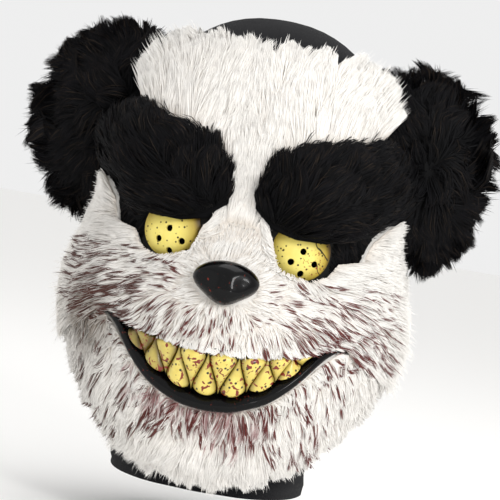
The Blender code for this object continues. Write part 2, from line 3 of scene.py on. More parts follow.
import bpy
import numpy as np
from mathutils import Matrix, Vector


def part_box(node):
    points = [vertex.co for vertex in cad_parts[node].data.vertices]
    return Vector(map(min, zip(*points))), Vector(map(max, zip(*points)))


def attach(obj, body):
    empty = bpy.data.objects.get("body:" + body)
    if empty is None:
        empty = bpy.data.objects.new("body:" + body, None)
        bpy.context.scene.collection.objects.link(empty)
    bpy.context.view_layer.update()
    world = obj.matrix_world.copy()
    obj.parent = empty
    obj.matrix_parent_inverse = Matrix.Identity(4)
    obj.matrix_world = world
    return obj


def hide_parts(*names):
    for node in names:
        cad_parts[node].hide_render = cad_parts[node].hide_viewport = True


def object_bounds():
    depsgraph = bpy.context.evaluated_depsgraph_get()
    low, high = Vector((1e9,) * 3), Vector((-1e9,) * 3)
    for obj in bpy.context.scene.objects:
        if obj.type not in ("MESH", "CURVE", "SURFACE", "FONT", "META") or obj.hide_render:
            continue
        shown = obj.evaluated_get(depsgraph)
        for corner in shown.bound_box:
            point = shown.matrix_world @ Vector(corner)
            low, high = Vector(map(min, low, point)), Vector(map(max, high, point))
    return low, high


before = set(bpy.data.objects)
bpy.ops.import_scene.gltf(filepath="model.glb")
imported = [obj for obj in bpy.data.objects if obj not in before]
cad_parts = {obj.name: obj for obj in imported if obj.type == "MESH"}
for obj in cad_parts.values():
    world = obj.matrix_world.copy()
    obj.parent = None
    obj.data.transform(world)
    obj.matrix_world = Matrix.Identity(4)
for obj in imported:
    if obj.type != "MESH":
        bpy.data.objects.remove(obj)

cadBox = [[float(value) for value in corner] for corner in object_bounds()]
print("frame loaded:", len(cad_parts), "nodes")

# The head's form, the same as the part's own: rounded ovals by height under a dome. Metres, nose at height 0.
form = {
    "crownRise": round(-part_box("hood")[0].z - 0.138, 4),  # the hood's hem lies 138 mm below the nose
    "faceHeight": 0.250, "halfWidth": 0.107, "faceDepth": 0.112, "backDepth": 0.098,
    "shellWall": 0.0025, "fabric": 0.002, "clearance": 0.0009, "edgeGap": 0.0012,
    "domeBase": 0.040, "domePower": 2.3, "roundness": 2.2,
    "muzzleReach": 0.030, "muzzleHalfWidth": 0.064, "muzzleHalfHeight": 0.072, "muzzleDrop": 0.022,
    "cheekReach": 0.008, "cheekSpan": 0.052, "cheekSpread": 0.070, "cheekDrop": 0.018,
    "browReach": 0.007, "browSpan": 0.050, "browSpread": 0.050, "browRise": 0.070,
    "arcScale": 0.105,  # metres of arc for a radian of turn
}
formTop = form["crownRise"] + form["fabric"] + form["clearance"] + form["shellWall"]

# height from the nose in face heights, half width in half widths, front and back in their depths
faceSections = np.array([
    (-0.60, 0.58, 0.70, 0.70),
    (-0.46, 0.71, 0.84, 0.72),
    (-0.40, 0.78, 0.91, 0.76),
    (-0.30, 0.89, 0.98, 0.82),
    (-0.20, 0.96, 1.00, 0.88),
    (-0.10, 1.00, 0.98, 0.92),
    (0.00, 1.00, 0.965, 0.96),
    (0.10, 0.97, 0.950, 0.99),
    (0.16, 0.935, 0.960, 1.00),
])
hoodSections = np.array([
    (-0.60, 0.655, 0.64, 0.68),
    (-0.50, 0.650, 0.66, 0.66),
    (-0.40, 0.665, 0.74, 0.66),
    (-0.30, 0.730, 0.82, 0.71),
    (-0.20, 0.810, 0.87, 0.79),
    (-0.10, 0.880, 0.91, 0.89),
    (0.00, 0.925, 0.94, 0.96),
    (0.10, 0.935, 0.95, 0.99),
    (0.16, 0.935, 0.960, 1.00),
])


# sRGB hex text to linear red, green, blue: ((c + 0.055) / 1.055) to the power 2.4 above the toe
def linearColour(hexText):
    value = np.array([int(hexText[i:i + 2], 16) for i in (1, 3, 5)]) / 255
    return np.where(value <= 0.04045, value / 12.92, ((value + 0.055) / 1.055) ** 2.4)


def linearRgba(hexText):
    return (*linearColour(hexText).tolist(), 1.0)


# settings are the node's own properties or its inputs' values
def setNode(node, settings):
    for key, value in settings.items():
        if isinstance(key, str) and hasattr(node, key):
            setattr(node, key, value)
        else:
            node.inputs[key].default_value = value


# adds one node; links are the sockets that feed its inputs
def addNode(tree, kind, settings=None, links=None):
    node = tree.nodes.new("ShaderNode" + kind)
    setNode(node, settings or {})
    for key, socket in (links or {}).items():
        tree.links.new(socket, node.inputs[key])
    return node


# a material with its node tree and its shader, which takes these values
def newFinish(name, settings):
    finish = bpy.data.materials.new(name)
    finish.use_nodes = True
    shader = finish.node_tree.nodes["Principled BSDF"]
    setNode(shader, settings)
    return finish, finish.node_tree, shader


# a noise or cell scale from the size of one blot or grain in millimetres, as Object coordinates are in metres
def scaleFor(millimetres):
    return 1000 / millimetres


# a smooth curve through one column of a table: cubic pieces with the slopes of the neighbours
def curveThrough(at, table, column):
    knots, values = table[:, 0], table[:, column]
    slopes = np.gradient(values, knots)
    at = np.clip(at, knots[0], knots[-1])
    low = np.clip(np.searchsorted(knots, at, side="right") - 1, 0, len(knots) - 2)
    span = knots[low + 1] - knots[low]
    part = (at - knots[low]) / span
    value = (1 + 2 * part) * (1 - part) ** 2 * values[low] + part**2 * (3 - 2 * part) * values[low + 1]
    bend = part * (1 - part) ** 2 * slopes[low] + part**2 * (part - 1) * slopes[low + 1]
    return value + bend * span


# (1 - s²)², 1 in the middle and 0 from a share of 1 on
def bell(share):
    return np.clip(1 - share**2, 0, 1) ** 2


# 3s² - 2s³ between 0 and 1
def ramp(share):
    share = np.clip(share, 0, 1)
    return share**2 * (3 - 2 * share)


# 0 up to a limit and 1 from a span past it
def past(value, limit, span):
    return ramp((value - limit) / span)


# 1 up to a span below a limit and 0 from it on
def within(value, limit, span):
    return ramp((limit - value) / span)


# first to second by share, for colours or points
def blendTo(first, second, share):
    return first + (second - first) * np.asarray(share)[..., None]


def unit(vectors):
    return vectors / np.maximum(np.linalg.norm(vectors, axis=-1, keepdims=True), 1e-12)


# |x / w|^p + |y / d|^p = 1 solved for the distance from the axis; w and d shrink to 0 up the dome
def sectionRadius(turn, height, sections, inset=0.0):
    share = height / form["faceHeight"]
    top = formTop - inset
    dome = np.clip((height - form["domeBase"]) / (top - form["domeBase"]), 0, 1)
    narrow = (1 - dome ** form["domePower"]) ** (1 / form["domePower"])
    halfWidth = (curveThrough(share, sections, 1) * form["halfWidth"] - inset) * narrow
    front = (curveThrough(share, sections, 2) * form["faceDepth"] - inset) * narrow
    back = (curveThrough(share, sections, 3) * form["backDepth"] - inset) * narrow
    depth = np.where(np.cos(turn) > 0, front, back)
    across = np.abs(np.sin(turn)) / np.maximum(halfWidth, 1e-9)
    along = np.abs(np.cos(turn)) / np.maximum(depth, 1e-9)
    return (across ** form["roundness"] + along ** form["roundness"]) ** (-1 / form["roundness"])


# the plain form plus three bells: muzzle, cheeks and brow ridges, faded out towards the sides
def faceRadius(turn, height):
    plain = sectionRadius(turn, height, faceSections)
    across = plain * np.sin(turn)
    muzzle = bell(across / form["muzzleHalfWidth"])
    muzzle = muzzle * bell((height + form["muzzleDrop"]) / form["muzzleHalfHeight"])
    cheek = bell((np.abs(across) - form["cheekSpread"]) / form["cheekSpan"])
    cheek = cheek * bell((height + form["cheekDrop"]) / form["cheekSpan"])
    brow = bell((np.abs(across) - form["browSpread"]) / form["browSpan"])
    brow = brow * bell((height - form["browRise"]) / form["browSpan"])
    raised = form["muzzleReach"] * muzzle + form["cheekReach"] * cheek + form["browReach"] * brow
    return plain + ramp(np.cos(turn) / 0.5) * raised


# (R sin turn, -R cos turn, height), measured down from the crown
def faceBase(turn, height):
    radius = faceRadius(turn, height)
    return np.stack([radius * np.sin(turn), -radius * np.cos(turn), height - form["crownRise"]], -1)


# base point with its directions to the viewer's right, up and outward, from small steps either way
def faceFrame(turn, height):
    step = 1e-4
    right = unit(faceBase(turn + step, height) - faceBase(turn - step, height))
    up = faceBase(turn, height + step) - faceBase(turn, height - step)
    out = unit(np.cross(right, up))
    return faceBase(turn, height), right, np.cross(out, right), out


def facePoint(turn, height, lift):
    turn, height, lift = np.broadcast_arrays(turn, height, lift)
    base, *_, out = faceFrame(turn, height)
    return base + out * lift[..., None]


# turn and height of any point near the face
def toFace(points):
    return np.arctan2(points[..., 0], -points[..., 1]), points[..., 2] + form["crownRise"]


# the quads of a grid of points as triangles, rows upward and columns to the right, facing the viewer
def gridTriangles(rows, columns, first=0, closed=False):
    index = first + np.arange(rows * columns).reshape(rows, columns)
    if closed:
        index = np.concatenate([index, index[:, :1]], 1)
    quads = np.stack([index[:-1, :-1], index[:-1, 1:], index[1:, 1:], index[1:, :-1]], -1).reshape(-1, 4)
    return np.concatenate([quads[:, [0, 1, 2]], quads[:, [0, 2, 3]]])


# a closed slab between two grids: front, back turned round, and a rim between their edges
def slab(outer, inner):
    rows, columns = outer.shape[:2]
    count = rows * columns
    index = np.arange(count).reshape(rows, columns)
    rim = np.concatenate([index[0], index[1:, -1], index[-1, -2::-1], index[-2:0:-1, 0]])
    after = np.roll(rim, -1)
    sides = np.stack([rim, rim + count, after + count], -1), np.stack([rim, after + count, after], -1)
    front, back = gridTriangles(rows, columns), gridTriangles(rows, columns, count)[:, ::-1]
    faces = np.concatenate([front, back, *sides])
    return np.concatenate([outer.reshape(-1, 3), inner.reshape(-1, 3)]), faces


# rings round an axis closed by a point at either end
def ball(rings, lowTip, highTip):
    rows, columns = rings.shape[:2]
    count = rows * columns
    around = np.arange(columns)
    after = np.roll(around, -1)
    low = np.stack([after, around, np.full(columns, count)], -1)
    high = np.stack([around, after, np.full(columns, count + 1)], -1)
    high[:, :2] += count - columns
    faces = np.concatenate([gridTriangles(rows, columns, 0, True), low, high])
    return np.concatenate([rings.reshape(-1, 3), [lowTip, highTip]]), faces


# several bodies put into one array of points and one of faces
def joined(bodies):
    points, faces, first = [], [], 0
    for bodyPoints, bodyFaces in bodies:
        points.append(bodyPoints)
        faces.append(bodyFaces + first)
        first += len(bodyPoints)
    return np.concatenate(points), np.concatenate(faces)


# where a mesh's vertices are, a row for each
def placesOf(mesh):
    places = np.empty(len(mesh.vertices) * 3)
    mesh.vertices.foreach_get("co", places)
    return places.reshape(-1, 3)


# one object at the origin from arrays of points and triangles, with its values per point
def newPiece(name, points, faces, finish=None, values=None):
    mesh = bpy.data.meshes.new(name)
    mesh.vertices.add(len(points))
    mesh.vertices.foreach_set("co", np.asarray(points, np.float32).ravel())
    mesh.loops.add(faces.size)
    mesh.loops.foreach_set("vertex_index", faces.astype(np.int32).ravel())
    mesh.polygons.add(len(faces))
    mesh.polygons.foreach_set("loop_start", np.arange(0, faces.size, 3, dtype=np.int32))
    mesh.update(calc_edges=True)
    mesh.shade_smooth()
    if finish:
        mesh.materials.append(finish)
    piece = bpy.data.objects.new(name, mesh)
    bpy.context.scene.collection.objects.link(piece)
    giveValues(mesh, values or {})
    return piece


def giveValues(mesh, values):
    kinds = {1: ("FLOAT", "value"), 3: ("FLOAT_VECTOR", "vector"), 4: ("FLOAT_COLOR", "color")}
    for name, array in values.items():
        kind, field = kinds[1 if array.ndim == 1 else array.shape[1]]
        mesh.attributes.new(name, kind, "POINT").data.foreach_set(field, array.astype(np.float32).ravel())


# a Boolean difference made real, so that no modifier is left
def cutAway(piece, cutter):
    modifier = piece.modifiers.new("cut", "BOOLEAN")
    modifier.operation = "DIFFERENCE"
    modifier.object = cutter
    evaluated = piece.evaluated_get(bpy.context.evaluated_depsgraph_get())
    mesh = bpy.data.meshes.new_from_object(evaluated)
    piece.modifiers.clear()
    piece.data = mesh
    bpy.data.objects.remove(cutter)


# the piece rides on the one body and stands for its CAD nodes, which are hidden
def standFor(piece, slot, *nodes):
    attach(piece, "root")
    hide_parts(*nodes)
    print(piece.name, "made:", len(piece.data.polygons), "faces")


eyes = {
    "diameter": 0.038, "turn": 21.8, "rise": 0.030, "dome": 0.007, "wall": 0.002, "hole": 0.0042,
    "holes": ((0.00, 0.00), (-0.17, -0.20), (0.23, -0.18), (0.03, -0.37)),  # across, up, in diameters
    "segments": 72,
}


# middle of an eye and its directions across, up and out, as rows
def eyeFrame(side):
    turn = np.array(side * math.radians(eyes["turn"]))
    middle, *_, out = faceFrame(turn, np.array(eyes["rise"]))
    out = unit(out + np.array([0, -1.0, 0]))
    across = unit(np.cross([0, 0, 1.0], out))
    return middle, np.array([across, np.cross(out, across), out])


# moulded plastic sprayed yellow under a clear gloss, with dark specks; olive to dark brown towards the rim,
# most at the upper right, is painted shade
def eyeFinish(side):
    finish, tree, shader = newFinish("sprayedEyePaint" + ("Left" if side < 0 else "Right"), {
        "Roughness": 0.45, "IOR": 1.49, "Specular IOR Level": 0.28,
    })
    disc = addNode(tree, "Attribute", {"attribute_name": "disc"})
    place = addNode(tree, "TexCoord")
    flat = addNode(tree, "VectorMath", {"operation": "MULTIPLY", 1: (1.0, 1.0, 0.0)},
                   {0: disc.outputs["Vector"]})
    # painted shade: the olive and the dark brown come in towards the rim, moved to the upper right where the
    # dome's edge and the brow above it shade it
    shadeShift = addNode(tree, "VectorMath", {"operation": "ADD", 1: (0.12, 0.15, 0.0)},
                   {0: flat.outputs["Vector"]})
    away = addNode(tree, "VectorMath", {"operation": "LENGTH"}, {0: shadeShift.outputs["Vector"]})
    edge = addNode(tree, "MapRange", {"interpolation_type": "SMOOTHSTEP", "From Min": 0.42, "From Max": 1.10},
                   {"Value": away.outputs["Value"]})
    rim = addNode(tree, "MapRange", {"interpolation_type": "SMOOTHSTEP", "From Min": 0.92, "From Max": 1.14},
                  {"Value": away.outputs["Value"]})
    cloud = addNode(tree, "TexNoise", {"Scale": scaleFor(4.762), "Detail": 3.0},
                    {"Vector": place.outputs["Object"]})
    paint = addNode(tree, "Mix", {"data_type": "RGBA", 6: linearRgba("#f3e486"), 7: linearRgba("#e6d263")},
                    {0: cloud.outputs["Fac"]})
    shadedOlive = addNode(tree, "Mix", {"data_type": "RGBA", 7: linearRgba("#a88d28")},
                    {0: edge.outputs["Result"], 6: paint.outputs[2]})
    shadedRim = addNode(tree, "Mix", {"data_type": "RGBA", 7: linearRgba("#4a3610")},
                   {0: rim.outputs["Result"], 6: shadedOlive.outputs[2]})
    cells = addNode(tree, "TexVoronoi", {"Scale": scaleFor(3.03), "Randomness": 1.0},
                    {"Vector": place.outputs["Object"]})
    speck = addNode(tree, "MapRange", {"From Min": 0.27, "From Max": 0.17},
                    {"Value": cells.outputs["Distance"]})
    rare = addNode(tree, "Math", {"operation": "GREATER_THAN", 1: 0.42}, {0: cells.outputs["Color"]})
    dots = addNode(tree, "Math", {"operation": "MULTIPLY"},
                   {0: speck.outputs["Result"], 1: rare.outputs["Value"]})
    colour = addNode(tree, "Mix", {"data_type": "RGBA", 7: linearRgba("#2a1a08")},
                     {0: dots.outputs["Value"], 6: shadedRim.outputs[2]})
    if side > 0:
        colour = creases(tree, flat.outputs["Vector"], place.outputs["Object"], colour)
    tree.links.new(colour.outputs[2], shader.inputs["Base Color"])
    return finish


# dark crease lines and red flecks of the right eye: near a line |(p - a)·n| < w, and between its ends
def creases(tree, flat, place, colour):
    bend = addNode(tree, "TexNoise", {"Scale": scaleFor(6.667), "Detail": 1.0}, {"Vector": place})
    shift = addNode(tree, "Math", {"operation": "MULTIPLY_ADD", 1: 0.22, 2: -0.11}, {0: bend.outputs["Fac"]})
    for fromX, fromY, toX, toY, width in (
        (0.02, 0.95, 0.42, 0.30, 0.045), (0.42, 0.30, 0.92, -0.18, 0.040), (0.22, 0.70, 0.50, 0.55, 0.030),
        (-0.12, 0.92, -0.20, 0.55, 0.025), (0.45, -0.30, 0.80, -0.75, 0.022),
    ):
        length = math.hypot(toX - fromX, toY - fromY)
        along = (toX - fromX) / length, (toY - fromY) / length
        across = -along[1], along[0]
        fromStart = addNode(tree, "VectorMath", {"operation": "SUBTRACT", 1: (fromX, fromY, 0.0)}, {0: flat})
        away = addNode(tree, "VectorMath", {"operation": "DOT_PRODUCT", 1: (*across, 0.0)},
                       {0: fromStart.outputs["Vector"]})
        bent = addNode(tree, "Math", {"operation": "ADD"},
                       {0: away.outputs["Value"], 1: shift.outputs["Value"]})
        size = addNode(tree, "Math", {"operation": "ABSOLUTE"}, {0: bent.outputs["Value"]})
        near = addNode(tree, "MapRange", {"From Min": width, "From Max": width * 0.4},
                       {"Value": size.outputs["Value"]})
        run = addNode(tree, "VectorMath", {"operation": "DOT_PRODUCT", 1: (*along, 0.0)},
                      {0: fromStart.outputs["Vector"]})
        within = addNode(tree, "Math", {"operation": "COMPARE", 1: length / 2, 2: length / 2},
                         {0: run.outputs["Value"]})
        line = addNode(tree, "Math", {"operation": "MULTIPLY"},
                       {0: near.outputs["Result"], 1: within.outputs["Value"]})
        colour = addNode(tree, "Mix", {"data_type": "RGBA", 7: linearRgba("#191005")},
                         {0: line.outputs["Value"], 6: colour.outputs[2]})
    spatter = addNode(tree, "TexNoise", {"Scale": scaleFor(1.613), "Detail": 2.0}, {"Vector": place})
    spot = addNode(tree, "MapRange", {"From Min": 0.60, "From Max": 0.64}, {"Value": spatter.outputs["Fac"]})
    reach = addNode(tree, "VectorMath", {"operation": "DISTANCE", 1: (0.42, -0.32, 0.0)}, {0: flat})
    close = addNode(tree, "MapRange", {"From Min": 0.50, "From Max": 0.30}, {"Value": reach.outputs["Value"]})
    red = addNode(tree, "Math", {"operation": "MULTIPLY"},
                  {0: spot.outputs["Result"], 1: close.outputs["Result"]})
    return addNode(tree, "Mix", {"data_type": "RGBA", 7: linearRgba("#8c2412")},
                   {0: red.outputs["Value"], 6: colour.outputs[2]})


# a dome z = h(1 - r²), its wall behind it and a turned edge, drilled through by four small holes
def makeEye(side, word):
    middle, axes = eyeFrame(side)
    around = np.linspace(0, 2 * math.pi, eyes["segments"], endpoint=False)
    shares = np.linspace(0.06, 1, 14)
    front = eyes["dome"] * (1 - shares**2)
    radii = np.concatenate([shares * 0.94, [1.0], shares[::-1]])
    depths = np.concatenate([front - eyes["wall"], [-0.5 * eyes["wall"]], front[::-1]])
    radii = (radii * eyes["diameter"] / 2)[:, None]
    rings = np.stack([radii * np.cos(around), radii * np.sin(around), depths[:, None] + 0 * around], -1)
    tips = middle + axes[2] * (eyes["dome"] - eyes["wall"]), middle + axes[2] * eyes["dome"]
    piece = newPiece("eye" + word.capitalize(), *ball(rings @ axes + middle, *tips), eyeFinish(side))
    drills = []
    ring = np.linspace(0, 2 * math.pi, 24, endpoint=False)
    for across, up in eyes["holes"]:
        centre = np.array([across * eyes["diameter"], up * eyes["diameter"], 0])
        ends = np.array([[-eyes["dome"]], [2 * eyes["dome"]]])
        hole = eyes["hole"] / 2
        rings = np.stack([hole * np.cos(ring) + 0 * ends, hole * np.sin(ring) + 0 * ends, ends + 0 * ring], -1)
        tips = np.array([[0, 0, -eyes["dome"]], [0, 0, 2 * eyes["dome"]]]) + centre
        drills.append(ball((rings + centre) @ axes + middle, *(tips @ axes + middle)))
    cutAway(piece, newPiece("drills", *joined(drills)))
    giveValues(piece.data, {"disc": (placesOf(piece.data) - middle) @ axes.T / (eyes["diameter"] / 2)})
    piece.data.shade_smooth()
    piece.data.set_sharp_from_angle(angle=math.radians(40))
    standFor(piece, "eye_enamel", "eye_" + word)


# injection-moulded vinyl with a gloss lacquer: deep black, slightly uneven, with worn flecks
def glossFinish(name, fleckHex, fleckLevel):
    finish, tree, shader = newFinish(name, {
        "IOR": 1.52, "Specular IOR Level": 0.08, "Coat Weight": 0.30, "Coat IOR": 1.38, "Coat Roughness": 0.05,
    })
    place = addNode(tree, "TexCoord")
    fine = addNode(tree, "TexNoise", {"Scale": scaleFor(1.923), "Detail": 3.0},
                   {"Vector": place.outputs["Object"]})
    broad = addNode(tree, "TexNoise", {"Scale": scaleFor(9.091), "Detail": 2.0},
                    {"Vector": place.outputs["Object"]})
    fleck = addNode(tree, "MapRange", {"From Min": fleckLevel, "From Max": fleckLevel + 0.03},
                    {"Value": fine.outputs["Fac"]})
    where = addNode(tree, "MapRange", {"From Min": 0.50, "From Max": 0.56}, {"Value": broad.outputs["Fac"]})
    both = addNode(tree, "Math", {"operation": "MULTIPLY"},
                   {0: fleck.outputs["Result"], 1: where.outputs["Result"]})
    colour = addNode(tree, "Mix", {"data_type": "RGBA", 6: linearRgba("#060607"), 7: linearRgba(fleckHex)},
                     {0: both.outputs["Value"]})
    dull = addNode(tree, "MapRange", {"From Min": 0.35, "From Max": 0.65, "To Min": 0.12, "To Max": 0.30},
                   {"Value": broad.outputs["Fac"]})
    bump = addNode(tree, "Bump", {"Strength": 0.25, "Distance": 0.0006}, {"Height": broad.outputs["Fac"]})
    tree.links.new(colour.outputs[2], shader.inputs["Base Color"])
    tree.links.new(dull.outputs["Result"], shader.inputs["Roughness"])
    tree.links.new(bump.outputs["Normal"], shader.inputs["Normal"])
    return finish


nose = {
    "width": 0.042, "height": 0.0228, "depth": 0.012, "base": 0.00498, "rim": 0.0015, "radius": 0.142,
    "nostrilAcross": 0.0088, "nostrilDrop": 0.0022, "nostrilWide": 0.0078, "nostrilHigh": 0.0056,
    "nostrilDepth": 0.0016, "rings": 34, "segments": 96,
}


# a rounded triangle wider at its top: lift = rim + depth·(1 - r²)^0.42, less two nostrils and a middle groove
def makeNose():
    around = np.linspace(0, 2 * math.pi, nose["segments"], endpoint=False)
    share = np.linspace(1, 0.04, nose["rings"])[:, None]
    upShare = share * np.sin(around)
    halfWidth = nose["width"] / 2 * (0.72 + 0.28 * np.tanh(2 * (upShare + 0.5)))
    across = share * np.cos(around) * halfWidth
    height = upShare * nose["height"] / 2
    lift = nose["base"] + nose["rim"] + nose["depth"] * np.clip(1 - share**2, 0, 1) ** 0.42
    offset = (np.abs(across) - nose["nostrilAcross"]) / nose["nostrilWide"]
    level = height + nose["nostrilDrop"] - 0.12 * (np.abs(across) - nose["nostrilAcross"])
    level = level / nose["nostrilHigh"]
    lift = lift - nose["nostrilDepth"] * bell(np.clip(np.hypot(offset, level), 0, 1))
    lift = lift - 0.0006 * bell(across / 0.0045) * ramp((0.002 - height) / 0.004) * ramp((1 - share) / 0.15)
    rings = facePoint(across / nose["radius"], height, lift)
    foot = facePoint(across[:1] / nose["radius"], height[:1], np.full_like(lift[:1], nose["base"]))
    rings = np.concatenate([foot, rings])
    top = nose["base"] + nose["rim"] + nose["depth"] - 0.001
    tips = facePoint(np.zeros(2), np.zeros(2), np.array([nose["base"], top]))
    piece = newPiece("noseTip", *ball(rings, *tips), glossFinish("lacqueredNoseVinyl", "#6a1f10", 0.66))
    standFor(piece, "gloss_black", "nose")


mouth = {
    "lipTurn": 38.5, "shellTurn": 92.0, "lipDepth": 0.009, "toothDepth": 0.0065, "pitch": 7.6, "shift": -1.0,
    "lower": 7, "upper": 7,
}
# turn as a share of lipTurn, lower and upper edge in face heights
lipEdges = np.array([
    (0.00, -0.300, -0.268), (0.18, -0.296, -0.262), (0.36, -0.276, -0.238), (0.46, -0.260, -0.218),
    (0.55, -0.236, -0.196), (0.64, -0.212, -0.172), (0.73, -0.186, -0.146), (0.82, -0.160, -0.120),
    (0.91, -0.134, -0.113), (1.00, -0.115, -0.109),
])
# turn as a share of shellTurn, edge of the muzzle fur over the teeth in face heights
furLine = np.array([
    (0.000, -0.148), (0.060, -0.146), (0.120, -0.143), (0.143, -0.141), (0.195, -0.137), (0.247, -0.132),
    (0.300, -0.126), (0.345, -0.117), (0.385, -0.109), (0.430, -0.103),
])
# length from the root, half width
toothProfile = np.array([
    (0.00, 0.62), (0.10, 0.97), (0.22, 0.95), (0.40, 0.70), (0.65, 0.36), (0.88, 0.10), (0.96, 0.03),
])


# a crescent: across it a rounded roll with a second thin roll towards the teeth, thinning at the corners
def makeLip():
    columns, rows = 150, 18
    share = np.linspace(-1, 1, columns)
    turn = share * math.radians(mouth["lipTurn"])
    low = np.interp(np.abs(share), lipEdges[:, 0], lipEdges[:, 1]) * form["faceHeight"]
    high = np.interp(np.abs(share), lipEdges[:, 0], lipEdges[:, 2]) * form["faceHeight"]
    smooth = np.ones(7) / 7
    low[3:-3], high[3:-3] = np.convolve(low, smooth, "valid"), np.convolve(high, smooth, "valid")
    part = np.linspace(0, 1, rows)[:, None]
    height = low * (1 - part) + high * part
    crown = np.sin(math.pi * (0.10 + 0.80 * part)) ** 0.8 + 0.10 * bell((part - 0.82) / 0.16)
    crown = crown * (1 - 0.72 * np.abs(share) ** 3)
    turn = np.broadcast_to(turn, height.shape)
    outer = facePoint(turn, height, form["clearance"] + mouth["lipDepth"] * crown)
    inner = facePoint(turn, height, np.full_like(height, form["clearance"]))
    piece = newPiece("lowerLip", *slab(outer, inner), glossFinish("lacqueredLipVinyl", "#5a1d10", 0.640))
    standFor(piece, "gloss_black", "lower_lip")


# moulded plastic teeth: yellow paint with dried blood and dots; the olive in the grooves, at the ends and to
# the left is painted shade
def toothFinish():
    finish, tree, shader = newFinish("stainedToothPaint", {
        "Roughness": 0.30, "IOR": 1.49, "Coat Weight": 0.3, "Coat Roughness": 0.12,
    })
    place = addNode(tree, "TexCoord")
    paintedShade = addNode(tree, "Attribute", {"attribute_name": "paintedShade"})
    cloud = addNode(tree, "TexNoise", {"Scale": scaleFor(5.263), "Detail": 4.0},
                    {"Vector": place.outputs["Object"]})
    paint = addNode(tree, "Mix", {"data_type": "RGBA", 6: linearRgba("#f0e07c"), 7: linearRgba("#cdb247")},
                    {0: cloud.outputs["Fac"]})
    # painted shade: dark olive mixed in where each point's shade value from makeTooth is high
    wearAndShade = addNode(tree, "Mix", {"data_type": "RGBA", 7: linearRgba("#5c4a10")},
                   {0: paintedShade.outputs["Fac"], 6: paint.outputs[2]})
    blot = addNode(tree, "TexNoise", {"Scale": scaleFor(4), "Detail": 3.0, "Distortion": 0.6},
                   {"Vector": place.outputs["Object"]})
    spot = addNode(tree, "MapRange", {"From Min": 0.575, "From Max": 0.60}, {"Value": blot.outputs["Fac"]})
    blood = addNode(tree, "Mix", {"data_type": "RGBA", 7: linearRgba("#7a200c")},
                    {0: spot.outputs["Result"], 6: wearAndShade.outputs[2]})
    cells = addNode(tree, "TexVoronoi", {"Scale": scaleFor(3.333), "Randomness": 1.0},
                    {"Vector": place.outputs["Object"]})
    small = addNode(tree, "MapRange", {"From Min": 0.30, "From Max": 0.20},
                    {"Value": cells.outputs["Distance"]})
    rare = addNode(tree, "Math", {"operation": "GREATER_THAN", 1: 0.50}, {0: cells.outputs["Color"]})
    dots = addNode(tree, "Math", {"operation": "MULTIPLY"},
                   {0: small.outputs["Result"], 1: rare.outputs["Value"]})
    colour = addNode(tree, "Mix", {"data_type": "RGBA", 7: linearRgba("#20140a")},
                     {0: dots.outputs["Value"], 6: blood.outputs[2]})
    bump = addNode(tree, "Bump", {"Strength": 0.3, "Distance": 0.0005}, {"Height": cloud.outputs["Fac"]})
    tree.links.new(colour.outputs[2], shader.inputs["Base Color"])
    tree.links.new(bump.outputs["Normal"], shader.inputs["Normal"])
    return finish


# width w(l) from a rounded root to a blunt point, lift = depth·√(1 - 0.8s²)·(0.35 + 0.65w)
def makeTooth(number, middle, row, finish):
    length = np.linspace(0, 0.96, 26)[:, None]
    width = curveThrough(length, toothProfile, 1)
    share = np.sin(np.linspace(-math.pi / 2, math.pi / 2, 15))
    turn = math.radians(middle) + 0.42 * math.radians(mouth["pitch"]) * width * share
    edge = form["edgeGap"]
    low = np.interp(np.abs(turn) / math.radians(mouth["lipTurn"]), lipEdges[:, 0], lipEdges[:, 2])
    high = np.interp(np.abs(turn) / math.radians(mouth["shellTurn"]), furLine[:, 0], furLine[:, 1])
    low, high = low * form["faceHeight"] + edge, high * form["faceHeight"] - edge
    part = length if row == "lower" else 1 - length
    height = low * (1 - part) + high * part
    crown = np.sqrt(1 - 0.8 * share**2) * (0.35 + 0.65 * width)
    rounded = ramp(length / 0.09) ** 0.5
    lift = mouth["toothDepth"] * crown * (0.35 + 0.65 * rounded)
    outer = facePoint(turn, height, form["clearance"] + lift)
    inner = facePoint(turn, height, np.full_like(height, form["clearance"]))
    # painted shade for the tooth paint: darker at each tooth's sides where the teeth meet, towards root and
    # tip, and on the teeth to the left, away from the key light
    left = ramp((-math.radians(middle) - 0.12) / 0.28)
    groove = 0.85 * np.abs(share) ** 4
    ends = 0.65 * ramp((length - 0.45) / 0.5) + 0.35 * (1 - ramp(length / 0.1))
    paintedShade = np.clip(groove + ends + 0.72 * left, 0, 1)
    if row == "upper":
        outer, inner, paintedShade = outer[::-1], inner[::-1], paintedShade[::-1]
    values = {"paintedShade": np.concatenate([paintedShade.ravel(), np.ones(paintedShade.size)])}
    name = f"tooth{row.capitalize()}{number}"
    piece = newPiece(name, *slab(outer, inner), finish, values)
    standFor(piece, "tooth_enamel", f"tooth_{row}_{number}")


# merged points and triangles of a CAD node, read from the frame
def nodeMesh(name):
    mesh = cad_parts[name].data
    mesh.calc_loop_triangles()
    corners = np.empty(len(mesh.loop_triangles) * 3, np.int32)
    mesh.loop_triangles.foreach_get("vertices", corners)
    points, inverse = np.unique(np.round(placesOf(mesh), 6), axis=0, return_inverse=True)
    return points, inverse.reshape(-1)[corners].reshape(-1, 3)


# random points spread evenly over a node's outward faces: corner + √r·(edge) + √r·s·(edge); a lower facing
# takes in its rims
def rootsOn(name, count, rng, facing):
    points, faces = nodeMesh(name)
    first, second, third = points[faces[:, 0]], points[faces[:, 1]], points[faces[:, 2]]
    normal = np.cross(second - first, third - first)
    middle = (first + second + third) / 3
    out = faceFrame(*toFace(middle))[3]
    area = np.linalg.norm(normal, axis=1) * ((unit(normal) * out).sum(1) > facing)
    pick = rng.choice(len(faces), count, p=area / area.sum())
    reach, turn = np.sqrt(rng.random((count, 1))), rng.random((count, 1))
    place = first[pick] * (1 - reach) + second[pick] * reach * (1 - turn) + third[pick] * reach * turn
    return place, unit(normal)[pick]


# arc of turn and height of any point near the face, in metres
def arcAndHeight(points):
    turn, height = toFace(points)
    return turn * form["arcScale"], height


